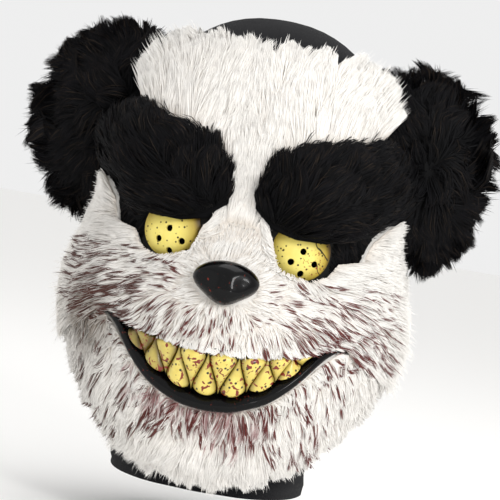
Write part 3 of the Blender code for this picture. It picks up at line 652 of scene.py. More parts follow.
# Splashes of stage blood, as ellipses laid along the fur: a row for each patch of the face, in millimetres
# arc and height from the nose, how many, half length, half width, strength
bloodPatches = np.array([
    # arcFrom, arcTo, lowFrom, highTo, number, halfLength, halfWidth, strength
    (-126, -24, -36, 14, 400, 2.3, 0.42, 1.00),
    (24, 124, -42, 12, 300, 2.3, 0.42, 1.00),
    (-30, 30, -38, -14, 110, 2.0, 0.42, 1.00),
    (-104, -50, -40, -4, 80, 3.4, 0.70, 1.00),
    (44, 96, -44, -16, 60, 3.2, 0.70, 1.00),
    (-100, 90, -108, -44, 260, 2.2, 0.50, 1.00),
    (-44, 44, -100, -72, 170, 1.9, 0.60, 1.00),
])
smearPatches = np.array([
    # arcFrom, arcTo, lowFrom, highTo, number, halfLength, halfWidth, strength
    (-38, 4, -90, -74, 130, 2.3, 1.0, 0.95),
    (0, 36, -94, -76, 80, 2.6, 0.8, 0.90),
    (-54, -28, -84, -60, 40, 2.0, 0.8, 0.80),
    (-8, 30, -106, -84, 34, 4.4, 0.7, 0.90),
])


# centres and directions of the ellipses; a direction runs from the nose outward, and down on the jaw
def splashes(patches, seed):
    rng = np.random.default_rng(seed)
    rows = np.repeat(patches, patches[:, 4].astype(int), axis=0)
    arc = rng.uniform(rows[:, 0], rows[:, 1]) / 1000
    height = rng.uniform(rows[:, 2], rows[:, 3]) / 1000
    turn = np.arctan2(np.where(height < -0.05, height - 0.03, height), arc) + rng.normal(0, 0.28, len(rows))
    halfLength = rows[:, 5] * rng.uniform(0.45, 1.5, len(rows)) / 1000
    halfWidth = rows[:, 6] * rng.uniform(0.6, 1.4, len(rows)) / 1000
    return np.stack([arc, height, np.cos(turn), np.sin(turn), halfLength, halfWidth, rows[:, 7]])


# strongest of strength·(1.4 - (along / length)² - (across / width)²) over all ellipses
def covered(arc, height, marks):
    blocks = []
    for part in np.array_split(np.stack([arc, height]), max(1, arc.size // 16000), axis=1):
        toRight = part[0][:, None] - marks[0]
        upward = part[1][:, None] - marks[1]
        along = (toRight * marks[2] + upward * marks[3]) / marks[4]
        across = (upward * marks[2] - toRight * marks[3]) / marks[5]
        blocks.append(np.clip((1.4 - along**2 - across**2) * marks[6], 0, 1).max(1))
    return np.concatenate(blocks)


bloodMarks = splashes(bloodPatches, 11)
smearMarks = splashes(smearPatches, 12)


# Faux fur is acrylic pile knitted into a backing: fine tapered fibres in locks over a dense undercoat.


# each strand: root + lie·L·t + out·(rise·t + settle·t²) - up·drop·t², then drawn to its lock's leader by
# pull·t^1.4
def strandCurves(coat, steps, settings, rng):
    share = np.asarray(steps)
    count = len(coat["root"])
    locks = []
    for size, pull in settings["locks"]:  # strands per lock, and how far the tips close up
        leaders = rng.choice(count, max(2, count // size), replace=False)
        locks.append((leaders, nearest(coat["root"], coat["root"][leaders]), pull))
    uneven = np.clip(rng.normal(1, settings["uneven"], len(locks[0][0])), 0.6, 1.35)[locks[0][1]]
    length = coat["length"] * rng.uniform(0.75, 1.1, count) * uneven
    stray = rng.random(count) < settings["stray"]  # fibres that left their lock and stand up
    sway = rng.normal(0, settings["sway"], count)[:, None]
    beside = np.cross(coat["out"], coat["lie"])
    lie = unit(coat["lie"] + beside * sway)
    rise = coat["rise"] * rng.uniform(0.7, 1.3, count)
    tip = coat["tip"] * np.where(stray, settings["strayLift"], 1)
    settle = tip - rise - length**2 / (2 * settings["curveRadius"])
    drop = settings["gravity"] * length**2 / settings["curveRadius"]
    curves = coat["root"][:, None] + (lie * length[:, None])[:, None] * share[:, None]
    curves += coat["out"][:, None] * (rise[:, None] * share + settle[:, None] * share**2)[..., None]
    curves[..., 2] -= drop[:, None] * share**2
    for leaders, own, pull in locks:
        swing = (rng.normal(0, settings["swing"], len(leaders)) * length[leaders])[:, None]
        target = curves[leaders] + beside[leaders][:, None] * swing[..., None] * share[:, None] ** 1.5
        closing = (pull * rng.uniform(0.75, 1.1, count) * np.where(stray, 0.3, 1))[:, None] * share**1.4
        curves = curves * (1 - closing[..., None]) + target[own] * closing[..., None]
    return curves


# index of the nearest leader: least of |a|² + |b|² - 2ab, a block at a time
def nearest(points, leaders):
    found = [
        np.argmin((leaders**2).sum(1) - 2 * block @ leaders.T, 1)
        for block in np.array_split(points, max(1, len(points) // 4000))
    ]
    return np.concatenate(found)


# a flat ribbon along each curve: side = out × tangent, rolled; half width w(1 - 0.3t²), ending in a point
def ribbons(curves, out, halfWidth, roll):
    count, steps = curves.shape[:2]
    share = np.linspace(0, 1, steps)
    tangent = unit(np.gradient(curves, axis=1))
    side = unit(np.cross(np.broadcast_to(out[:, None], tangent.shape), tangent))
    side = side * np.cos(roll)[:, None, None] + np.cross(tangent, side) * np.sin(roll)[:, None, None]
    facing = np.cross(tangent, side)
    side = side * (halfWidth[:, None] * (1 - 0.3 * share**2))[..., None]
    pairs = np.stack([curves + side, curves - side], 2)[:, :-1].reshape(count, -1, 3)
    points = np.concatenate([pairs, curves[:, -1:]], 1)
    facing = np.concatenate([np.repeat(facing[:, :-1], 2, axis=1), facing[:, -1:]], 1)
    low = 2 * np.arange(steps - 2)
    pattern = np.concatenate([
        np.stack([low, low + 1, low + 3], -1),
        np.stack([low, low + 3, low + 2], -1),
        [[2 * steps - 4, 2 * steps - 3, 2 * steps - 2]],
    ])
    each = 2 * steps - 1
    faces = (np.arange(count)[:, None, None] * each + pattern).reshape(-1, 3)
    along = np.append(np.repeat(share[:-1], 2), 1.0)
    return points, faces, facing, along


# strands and undercoat of one fur piece, with a colour for each point; matted strands stand a little proud.
# The shading normals lean from each ribbon's own to the pile's, because a real fibre is round
def furPiece(name, coat, under, settings):
    rng = np.random.default_rng(settings["seed"])
    count = len(coat["root"])
    paint, marks, share = settings["paint"], settings["marks"], np.asarray(settings["steps"])
    curves = strandCurves(coat, share, settings, rng)
    matted = np.zeros(count) if marks is None else covered(*arcAndHeight(curves[:, -2]), marks)
    curves += coat["out"][:, None] * (settings["proud"] * matted[:, None] * share**2)[..., None]
    roll = rng.normal(0, settings["roll"], count)
    width = settings["halfWidth"] * rng.uniform(0.7, 1.25, count) * (1 + 0.35 * matted)
    points, faces, facing, along = ribbons(curves, coat["out"], width, roll)
    points = points.reshape(-1, 3)
    outward = np.broadcast_to(coat["out"][:, None], facing.shape)
    facing = unit(facing + (outward - facing) * settings["soften"]).reshape(-1, 3)
    tone = np.repeat(rng.random(count), len(along))
    colour = paint(points, np.tile(along, count), tone, np.repeat(matted, len(along)))
    underPoints, underFaces, underOut = under
    rest = np.zeros(len(underPoints))
    # the undercoat takes the fibres' colour a share along them, so under black fur it carries the painted root
    # shade
    underColour = paint(underPoints, rest + settings["underShare"], rest + 0.5, rest)
    allPoints, allFaces = joined([(points, faces), (underPoints, underFaces)])
    rgba = np.ones((len(allPoints), 4))
    rgba[:, :3] = np.concatenate([colour, underColour])
    piece = newPiece(name, allPoints, allFaces, settings["finish"], {"coat": rgba})
    normals = np.concatenate([facing, underOut])
    piece.data.normals_split_custom_set_from_vertices(normals.tolist())
    return piece


# the node's own slab with its height over the face scaled down, as the dense undercoat
def undercoatOf(name, keep):
    points, faces = nodeMesh(name)
    base, *_, out = faceFrame(*toFace(points))
    lift = ((points - base) * out).sum(1)
    return points - out * ((1 - keep) * lift)[:, None], faces, out


# root is darker and tip lighter as painted shade and painted light along each fibre; shade is the painted
# shade of the left side
whitePaint = {
    "root": linearColour("#dfd5c9"), "body": linearColour("#f3efe9"), "tip": linearColour("#fbf9f5"),
    "shade": linearColour("#66584a"), "blood": linearColour("#5c1712"), "brown": linearColour("#45241a"),
    "smear": linearColour("#84383e"),
}


# root to body to tip along a fibre as painted shade and light, painted shade at the left cheek and mouth
# corner, blood and smears on top
def whiteColour(points, share, tone, matted):
    arc, height = arcAndHeight(points)
    # painted shade at the root among the fibres and painted light at the tip
    colour = blendTo(whitePaint["root"], whitePaint["body"], ramp((share + 0.12) / 0.5))
    colour = blendTo(colour, whitePaint["tip"], ramp((share - 0.4) / 0.6) * 0.8)
    colour = colour * (0.90 + 0.12 * tone)[:, None]
    # painted shade of the left cheek, the left temple and the mouth corner under the tufts, on the side away
    # from the key light
    corner = bell(np.hypot((arc + 0.084) / 0.036, (height + 0.036) / 0.034))
    side = bell((arc + 0.098) / 0.040) * bell((height + 0.045) / 0.060)
    temple = bell((arc + 0.090) / 0.030) * bell((height - 0.018) / 0.030)
    paintedShade = np.clip(0.95 * corner + 0.45 * side + 0.25 * temple, 0, 1) * (0.40 + 0.60 * tone)
    colour = blendTo(colour, whitePaint["shade"], paintedShade)
    smear = covered(arc, height, smearMarks) * (0.45 + 0.55 * tone)
    colour = blendTo(colour, whitePaint["smear"], np.clip(smear, 0, 0.85))
    blood = matted * (tone > 0.08) * ramp((share - 0.15) / 0.30)
    bloodColour = blendTo(whitePaint["blood"], whitePaint["brown"], ramp((-arc - 0.01) / 0.05) * 0.8)
    return colour + (bloodColour - colour) * np.clip(1.6 * blood, 0, 0.96)[:, None]


# the fibres' own colours, times a slow noise, so that the pile isn't even over a few millimetres
def mottleCoat(tree, shader, blot, detail, darkest, lightest):
    coat = addNode(tree, "Attribute", {"attribute_name": "coat"})
    place = addNode(tree, "TexCoord")
    mottle = addNode(tree, "TexNoise", {"Scale": scaleFor(blot), "Detail": detail},
                     {"Vector": place.outputs["Object"]})
    level = addNode(tree, "MapRange",
                    {"From Min": 0.3, "From Max": 0.7, "To Min": darkest, "To Max": lightest},
                    {"Value": mottle.outputs["Fac"]})
    tinted = addNode(tree, "VectorMath", {"operation": "SCALE"},
                     {0: coat.outputs["Color"], "Scale": level.outputs["Result"]})
    tree.links.new(tinted.outputs["Vector"], shader.inputs["Base Color"])
    return mottle


# white acrylic pile: matt with a soft sheen, its colour carried along each fibre
def whiteFurFinish():
    finish, tree, shader = newFinish("whiteAcrylicPile", {
        "Roughness": 0.72, "Specular IOR Level": 0.12, "Sheen Weight": 0.08, "Sheen Roughness": 0.5,
    })
    mottleCoat(tree, shader, 6.25, 3.0, 0.90, 1.04)
    return finish


# black acrylic pile: near black with a satin glint along the fibres and browner tips
def blackFurFinish():
    finish, tree, shader = newFinish("blackAcrylicPile", {"Specular IOR Level": 0.06})
    mottle = mottleCoat(tree, shader, 11.11, 2.0, 0.6, 1.3)
    dull = addNode(tree, "MapRange", {"From Min": 0.3, "From Max": 0.7, "To Min": 0.42, "To Max": 0.62},
                   {"Value": mottle.outputs["Fac"]})
    tree.links.new(dull.outputs["Result"], shader.inputs["Roughness"])
    return finish


# root darker and tip lighter: painted shade and painted light along the fibres
blackPaint = {
    "root": linearColour("#060607"), "body": linearColour("#0c0c0e"), "tip": linearColour("#131214"),
    "brown": linearColour("#2a231d"),
}


# root painted darker as shade, tip slightly lighter as painted light; one fibre in eight fades to grey brown
def blackColour(points, share, tone, matted):
    colour = blendTo(blackPaint["root"], blackPaint["body"], ramp(share / 0.5))
    colour = blendTo(colour, blackPaint["tip"], ramp((share - 0.5) / 0.5))
    return blendTo(colour, blackPaint["brown"], ramp((tone - 0.84) / 0.1) * ramp((share - 0.2) / 0.6))


# what the three white furs share: a facing below 0 roots strands on a slab's rims too, soften is how far the
# shading normals lean to the pile, proud lifts matted strands, and undercoat is the share of a slab's height
whitePile = {
    "paint": whiteColour, "finish": whiteFurFinish(), "marks": bloodMarks,
    "facing": -0.10, "rootLift": 0.0040, "stray": 0.035, "strayLift": 1.6, "roll": 0.35, "curveRadius": 0.10,
    "soften": 0.65, "proud": 0.0014, "underShare": 0.45, "undercoat": 0.34,
    "fill": 0.8,  # a strand's own length over the room that it has
}
# what the black furs share
blackPile = {
    "paint": blackColour, "finish": blackFurFinish(), "marks": None,
    "steps": (0, 0.36, 0.72, 1), "stray": 0.05, "strayLift": 1.15, "roll": 0.45,
    "soften": 0.30, "proud": 0.0, "underShare": 0.12,
}


# slow waves in the lie, so that the pile doesn't run dead straight: two crossed sines. The upward share takes
# them with height and turn changed over, so that the two don't keep step
def wander(turn, height, amount):
    return amount * (np.sin(7.3 * turn + 31 * height) + np.sin(47 * height - 3.1 * turn + 1.7))


# lie = right·sideways + up·upward, in the face's tangent plane
def lieOn(right, up, sideways, upward):
    return unit(right * sideways[:, None] + up * upward[:, None])


muzzleFur = {
    **whitePile,
    "strands": 27000, "steps": (0, 0.25, 0.5, 0.75, 1), "halfWidth": 0.00022, "seed": 21,
    "sway": 0.16, "swing": 0.14, "gravity": 0.10, "locks": ((26, 0.40), (210, 0.20)), "uneven": 0.10,
    "nearLength": 0.0085, "farLength": 0.0210, "noseAcross": 0.0185, "noseUp": 0.0095,
    "overhang": 0.0022,  # how far the tips reach past the slab's edge over the teeth
    "mouthArc": 0.072,  # and how far to either side
    # zones: the limit of each and the length over which it comes in
    "nose": (0.020, 0.030), "far": (0.016, 0.060), "edge": (0.092, 0.025), "underTemple": (0.020, 0.030),
    "overTeeth": (0.012, 0.012), "teethWide": (0.050, 0.018), "eyeRing": (0.001, 0.011),
    "overLip": (0.016, 0.010), "lipWide": (0.073, 0.006), "lipCorner": (0.036, 0.020),
    "stripFoot": (0.016, 0.012), "stripWide": (0.024, 0.008),
    # at the nose, added far from it, added at the edge
    "rises": (0.10, 0.12, 0.34), "tips": (0.0012, 0.0040, 0.0065),
}


# the pile runs outward from the nose: short and flat beside it, long on the cheeks, straight down at the teeth
def makeMuzzleFur():
    rng = np.random.default_rng(muzzleFur["seed"] + 100)
    place = rootsOn("muzzle_fur", muzzleFur["strands"], rng, muzzleFur["facing"])[0]
    turn, height = toFace(place)
    clear = np.hypot(place[:, 0] / muzzleFur["noseAcross"], height / muzzleFur["noseUp"]) > 1
    turn, height = turn[clear], height[clear]
    base, right, up, out = faceFrame(turn, height)
    arc = turn * form["arcScale"]
    away = np.hypot(arc, height)
    spread = np.abs(arc)
    far = past(away, *muzzleFur["far"])
    teeth = past(-height, *muzzleFur["overTeeth"]) * within(spread, *muzzleFur["teethWide"])
    sideways = arc / (away + 0.002) + wander(turn, height, 0.09)
    sideways = sideways * (1 - 0.45 * teeth)
    upward = (height + 0.001) / (away + 0.002) - 0.30 * far + wander(height * 8, turn / 8, 0.08)
    upward = upward - 0.5 * teeth
    seam = np.interp(np.abs(turn) / math.radians(mouth["shellTurn"]), furLine[:, 0], furLine[:, 1])
    above = height - seam * form["faceHeight"]
    corner = within(above, *muzzleFur["overLip"]) * within(spread, *muzzleFur["lipWide"])
    corner = corner * past(spread, *muzzleFur["lipCorner"])  # the lip stays clear of fur
    upward = upward + 0.75 * corner
    edge = past(spread, *muzzleFur["edge"]) * within(height, *muzzleFur["underTemple"])
    crest = past(height, *muzzleFur["stripFoot"]) * within(spread, *muzzleFur["stripWide"])
    length = muzzleFur["nearLength"] + (muzzleFur["farLength"] - muzzleFur["nearLength"]) * far
    length = length * (1 - 0.50 * corner) * (1 + 0.35 * edge) * (1 + 0.8 * crest)
    atNose, added, atEdge = muzzleFur["rises"]
    rise = atNose * length + (added + atEdge * edge) * length * far
    atNose, added, atEdge = muzzleFur["tips"]
    tip = atNose + added * far + atEdge * edge
    lie = lieOn(right, up, sideways, upward)
    for side in (-1, 1):  # parted round the eyes
        apart = base - eyeFrame(side)[0]
        gap = np.linalg.norm(apart, axis=1) - eyes["diameter"] / 2
        parted = 1 - past(gap, *muzzleFur["eyeRing"])
        lie = unit(lie + unit(apart - out * (apart * out).sum(1)[:, None]) * (1.5 * parted)[:, None])
        length = length * (1 - 0.45 * parted)
    room = np.maximum(above + muzzleFur["overhang"], 0.002) / muzzleFur["fill"]
    length = np.where(spread < muzzleFur["mouthArc"], np.minimum(length, room), length)
    rootLift = muzzleFur["rootLift"] * (0.55 + 0.45 * past(away, *muzzleFur["nose"]))
    coat = {
        "root": base + out * rootLift[:, None],
        "lie": lie, "out": out, "length": length, "rise": rise, "tip": tip,
    }
    under = undercoatOf("muzzle_fur", muzzleFur["undercoat"])
    piece = furPiece("muzzleFur", coat, under, muzzleFur)
    standFor(piece, "white_fur", "muzzle_fur")


foreheadFur = {
    **whitePile,
    "strands": 27000, "steps": (0, 0.36, 0.72, 1), "halfWidth": 0.00026, "seed": 22,
    "sway": 0.14, "swing": 0.20, "gravity": 0.0, "locks": ((60, 0.46), (420, 0.38)), "uneven": 0.20,
    "lowLength": 0.015, "highLength": 0.027,
    "high": (0.035, 0.050), "corner": (0.55, 0.25), "fan": (0.50, 0.60),
    "rises": 0.18, "tips": (0.0030, 0.0035, 0.0040),  # at the strip, added higher up, added at the corners
    "tipHeight": 0.150, "least": 0.007,  # the last tips end below the crown, so that the hood shows
}


# upward from the strip between the brows, fanning out over the forehead; the last locks spill over the crown
def makeForeheadFur():
    rng = np.random.default_rng(foreheadFur["seed"] + 100)
    place = rootsOn("forehead_fur", foreheadFur["strands"], rng, foreheadFur["facing"])[0]
    turn, height = toFace(place)
    base, right, up, out = faceFrame(turn, height)
    high = past(height, *foreheadFur["high"])
    slow, fast = foreheadFur["fan"]
    sideways = (slow * turn + fast * turn**3) * high + wander(turn, height, 0.15)
    upward = 1.0 + wander(height * 8, turn / 8, 0.05)
    length = foreheadFur["lowLength"] + (foreheadFur["highLength"] - foreheadFur["lowLength"]) * high
    room = (foreheadFur["tipHeight"] - height) / foreheadFur["fill"]
    length = np.minimum(length, np.maximum(room, foreheadFur["least"]))
    atStrip, added, atCorner = foreheadFur["tips"]
    tip = atStrip + added * high + atCorner * past(np.abs(turn), *foreheadFur["corner"])
    coat = {
        "root": base + out * foreheadFur["rootLift"],
        "lie": lieOn(right, up, sideways, upward), "out": out, "length": length,
        "rise": foreheadFur["rises"] * length, "tip": tip,
    }
    under = undercoatOf("forehead_fur", foreheadFur["undercoat"])
    piece = furPiece("foreheadFur", coat, under, foreheadFur)
    standFor(piece, "white_fur", "forehead_fur")


jawFur = {
    **whitePile,
    "strands": 31000, "steps": (0, 0.36, 0.72, 1), "halfWidth": 0.00026, "seed": 23,
    "sway": 0.20, "swing": 0.24, "gravity": 0.30, "locks": ((34, 0.60), (170, 0.42)), "uneven": 0.24,
    "topLength": 0.009, "hangLength": 0.0255, "turnedUp": 0.0055,
    "hang": (0.055, 0.045), "hangTilt": 0.35,  # where the long locks begin
    "splay": 0.62, "splayArc": 0.045,
    "rises": (0.16, 0.08), "tips": (0.0025, 0.0035),  # at the lip, added below
    "chinDrop": 0.126, "edgeBend": 5.0, "least": 0.0065,  # tips end at edgeBend·arc² - chinDrop from the nose
}


# down and outward from the lip, in locks that hang past the jaw and end in points
def makeJawFur():
    rng = np.random.default_rng(jawFur["seed"] + 100)
    place = rootsOn("jaw_fur", jawFur["strands"], rng, jawFur["facing"])[0]
    turn, height = toFace(place)
    base, right, up, out = faceFrame(turn, height)
    arc = turn * form["arcScale"]
    below = past(jawFur["hangTilt"] * np.abs(arc) - height, *jawFur["hang"])
    sideways = jawFur["splay"] * np.tanh(arc / jawFur["splayArc"]) + wander(turn, height, 0.12)
    upward = -0.95 + wander(height * 8, turn / 8, 0.08)
    length = jawFur["topLength"] + (jawFur["hangLength"] - jawFur["topLength"]) * below
    lipLow = np.interp(np.abs(turn) / math.radians(mouth["lipTurn"]), lipEdges[:, 0], lipEdges[:, 1])
    atLip = ramp(1.4 - (lipLow * form["faceHeight"] - height) / jawFur["turnedUp"])
    atLip = atLip * (np.abs(turn) < 1.2 * math.radians(mouth["lipTurn"]))
    upTurned = rng.random(len(turn)) < 0.65 * atLip  # a short fuzz that leans up to the lip
    upward = np.where(upTurned, 0.8, upward)
    length = np.where(upTurned, jawFur["turnedUp"], length)
    room = height + jawFur["chinDrop"] - jawFur["edgeBend"] * arc**2
    length = np.minimum(length, np.maximum(room / jawFur["fill"], jawFur["least"]))
    atLipRise, addedRise = jawFur["rises"]
    atLipTip, addedTip = jawFur["tips"]
    coat = {
        "root": base + out * jawFur["rootLift"],
        "lie": lieOn(right, up, sideways, upward), "out": out, "length": length,
        "rise": (atLipRise + addedRise * below) * length, "tip": atLipTip + addedTip * below,
    }
    piece = furPiece("jawFur", coat, undercoatOf("jaw_fur", jawFur["undercoat"]), jawFur)
    standFor(piece, "white_fur", "jaw_fur")


browFur = {
    **blackPile,
    "strands": 11500, "halfWidth": 0.00028, "seed": 31,
    "sway": 0.20, "swing": 0.26, "gravity": 0.0, "locks": ((44, 0.62), (260, 0.36)), "uneven": 0.20,
    "facing": -0.15, "sink": 0.0030, "length": 0.0240, "curveRadius": 0.07, "undercoat": 0.60,
    "outer": (0.12, 0.35), "rises": 0.24, "tips": 0.0042,
    "socketStrands": 1500, "socketLength": 0.008,
    "socketTurns": (33.0, 49.0), "socketHeights": (0.020, 0.052),
    "socketClear": 0.0015, "socketLift": 0.0002, "socketTips": 0.0022,
}


# up and outward from the crisp lower edge, with tufts over the forehead and a dark pile in the eye socket
def makeBrowFur(side, word):
    rng = np.random.default_rng(browFur["seed"] + 100 + side)
    place, normal = rootsOn("brow_patch_" + word, browFur["strands"], rng, browFur["facing"])
    turn, height = toFace(place)
    right, up, out = faceFrame(turn, height)[1:]
    out = unit(0.6 * normal + 0.4 * out)
    outer = past(np.abs(turn), *browFur["outer"])
    sideways = side * (0.15 + 0.85 * outer) + wander(turn, height, 0.14)
    upward = 1.0 - 0.45 * outer + wander(height * 8, turn / 8, 0.10)
    length = browFur["length"] * (0.75 + 0.25 * outer)
    lie = lieOn(right, up, sideways, upward)
    lie = unit(lie - out * (lie * out).sum(1)[:, None])
    patch = {"root": place - out * browFur["sink"], "lie": lie, "out": out, "length": length,
             "rise": browFur["rises"] * length, "tip": np.full(len(turn), browFur["tips"])}
    socket = socketCoat(side, rng)
    coat = {key: np.concatenate([patch[key], socket[key]]) for key in patch}
    under = undercoatOf("brow_patch_" + word, browFur["undercoat"])
    settings = dict(browFur, seed=browFur["seed"] + side)
    piece = furPiece("browFur" + word.capitalize(), coat, under, settings)
    standFor(piece, "black_fur", "brow_patch_" + word)


# roots on the hard face between the eye, the brow and the cheek fur
def socketCoat(side, rng):
    count = browFur["socketStrands"]
    turn = side * np.radians(rng.uniform(*browFur["socketTurns"], count))
    height = rng.uniform(*browFur["socketHeights"], count)
    middle = eyeFrame(side)[0]
    base, right, up, out = faceFrame(turn, height)
    clear = np.linalg.norm(base - middle, axis=1) > 0.5 * eyes["diameter"] + browFur["socketClear"]
    base, right, up, out = base[clear], right[clear], up[clear], out[clear]
    ones = np.ones(len(base))
    length = browFur["socketLength"] * ones
    lie = lieOn(right, up, side * 0.5 * ones, -0.8 * ones)
    return {"root": base + out * browFur["socketLift"], "lie": lie, "out": out,
            "length": length, "rise": 0.35 * length, "tip": browFur["socketTips"] * ones}


earFur = {
    **blackPile,
    "strands": 28000, "halfWidth": 0.00030, "seed": 41,
    "sway": 0.22, "swing": 0.46, "gravity": 0.10, "locks": ((46, 0.74), (210, 0.68)), "uneven": 0.18,
    "length": 0.0308, "curveRadius": 0.045, "sink": 0.002, "faceClear": 0.003, "whorl": 0.55,
    "rises": 0.30, "tips": (0.006, 0.005),  # in the middle, added at the rim
    "halfAcross": 0.0375, "halfUp": 0.0455, "halfOut": 0.0155,
    "pad": 0.97,  # the backing under the pile, as a share of the form above
    "spread": 0.100, "rise": 0.094, "forward": 0.020, "yaw": 10.0,
    "comb": {-1: (-0.24, -0.12), 1: (-0.28, 0.08)},  # the pile of both leans to the viewer's left
}


# a plush pad |x/a|² + |y/b|² + |z/c|² = 1 whose pile runs out over its rim in spiky tufts
def makeEar(side, word):
    rng = np.random.default_rng(earFur["seed"] + 100 + side)
    yaw = math.radians(earFur["yaw"]) * side
    axes = np.array([[math.cos(yaw), math.sin(yaw), 0], [0, 0, 1], [math.sin(yaw), -math.cos(yaw), 0]])
    middle = np.array([side * earFur["spread"], -earFur["forward"], earFur["rise"] - form["crownRise"]])
    half = np.array([earFur["halfAcross"], earFur["halfUp"], earFur["halfOut"]])
    way = unit(rng.normal(size=(int(earFur["strands"] * 1.5), 3)) * np.array([1.0, 1.0, 0.8]))
    place = (way * half) @ axes + middle
    turn, height = toFace(place)
    face = faceRadius(turn, np.minimum(height, 0.16))
    clear = np.hypot(place[:, 0], place[:, 1]) > face + earFur["faceClear"]
    way, place = way[clear][:earFur["strands"]], place[clear][:earFur["strands"]]
    local = unit(way / half)
    out = local @ axes
    rim = np.hypot(way[:, 0], way[:, 1])
    swirl = wander(way[:, 0] * 2, way[:, 1] / 9, 0.30)
    comb = earFur["comb"][side]
    radial = np.stack([way[:, 0] - swirl * way[:, 1] + comb[0], way[:, 1] + swirl * way[:, 0] + comb[1],
                       0.25 * way[:, 2]], -1)
    lie = radial @ axes
    lie = unit(lie - out * (lie * out).sum(1)[:, None] * (1 - 0.6 * ramp((rim - 0.7) / 0.3))[:, None])
    whorl = 1 - ramp(np.linalg.norm(radial, axis=1) / earFur["whorl"])  # the pile stands up where it parts
    lie = unit(lie + out * whorl[:, None])
    length = earFur["length"] * (0.7 + 0.3 * rim) * rng.uniform(0.8, 1.2, len(rim))
    inMiddle, added = earFur["tips"]
    coat = {"root": place - out * earFur["sink"], "lie": lie, "out": out, "length": length,
            "rise": earFur["rises"] * length, "tip": inMiddle + added * rim}
    around = np.linspace(0, 2 * math.pi, 40, endpoint=False)
    down = np.linspace(0, math.pi, 16)[1:-1, None][::-1]
    across, up = np.sin(down) * np.cos(around), np.sin(down) * np.sin(around)
    pad = half * earFur["pad"]
    rings = (np.stack([across, up, np.cos(down) + 0 * around], -1) * pad) @ axes + middle
    tips = middle - axes[2] * pad[2], middle + axes[2] * pad[2]
    settings = dict(earFur, seed=earFur["seed"] + side)
    points, faces = ball(rings, *tips)
    under = points, faces, unit(((points - middle) @ axes.T / half**2) @ axes)
    piece = furPiece("earFur" + word.capitalize(), coat, under, settings)
    standFor(piece, "black_fur", "ear_" + word)


# brushed stretch knit: a fine rib every 1.3 mm, drawn coarser than real so that it shows, and a fuzzy nap
def knitFinish():
    finish, tree, shader = newFinish("brushedStretchKnit", {
        "Roughness": 0.88, "Specular IOR Level": 0.08, "Sheen Weight": 0.06,
    })
    place = addNode(tree, "TexCoord")
    nap = addNode(tree, "TexNoise", {"Scale": scaleFor(1.111), "Detail": 3.0},
                  {"Vector": place.outputs["Object"]})
    broad = addNode(tree, "TexNoise", {"Scale": scaleFor(25), "Detail": 2.0},
                    {"Vector": place.outputs["Object"]})
    rib = addNode(tree, "Attribute", {"attribute_name": "rib"})
    wale = addNode(tree, "Math", {"operation": "SINE"}, {0: rib.outputs["Fac"]})
    relief = addNode(tree, "Math", {"operation": "MULTIPLY_ADD", 1: 0.35},
                     {0: wale.outputs["Value"], 2: nap.outputs["Fac"]})
    bump = addNode(tree, "Bump", {"Strength": 0.8, "Distance": 0.0005}, {"Height": relief.outputs["Value"]})
    colour = addNode(tree, "Mix", {"data_type": "RGBA", 6: linearRgba("#09090b"), 7: linearRgba("#1b1b1f")},
                     {0: nap.outputs["Fac"]})
    wearAndShade = addNode(tree, "Mix", {"data_type": "RGBA", 7: linearRgba("#19191b")},
                   {0: broad.outputs["Fac"], 6: colour.outputs[2]})
    tree.links.new(wearAndShade.outputs[2], shader.inputs["Base Color"])
    tree.links.new(bump.outputs["Normal"], shader.inputs["Normal"])
    return finish


hood = {
    "neckDrop": 0.138, "neckRoll": 0.004, "neckFold": 0.014, "columns": 104, "lowRows": 46, "domeRows": 20,
    "openLow": -0.335, "openHigh": 0.52, "openAcross": 0.80,
    "flat": (0.56, 0.40), "area": 0.165,  # one cut of stretch knit, half of it each side of the middle seam
    "ribPitch": 0.0013,
}


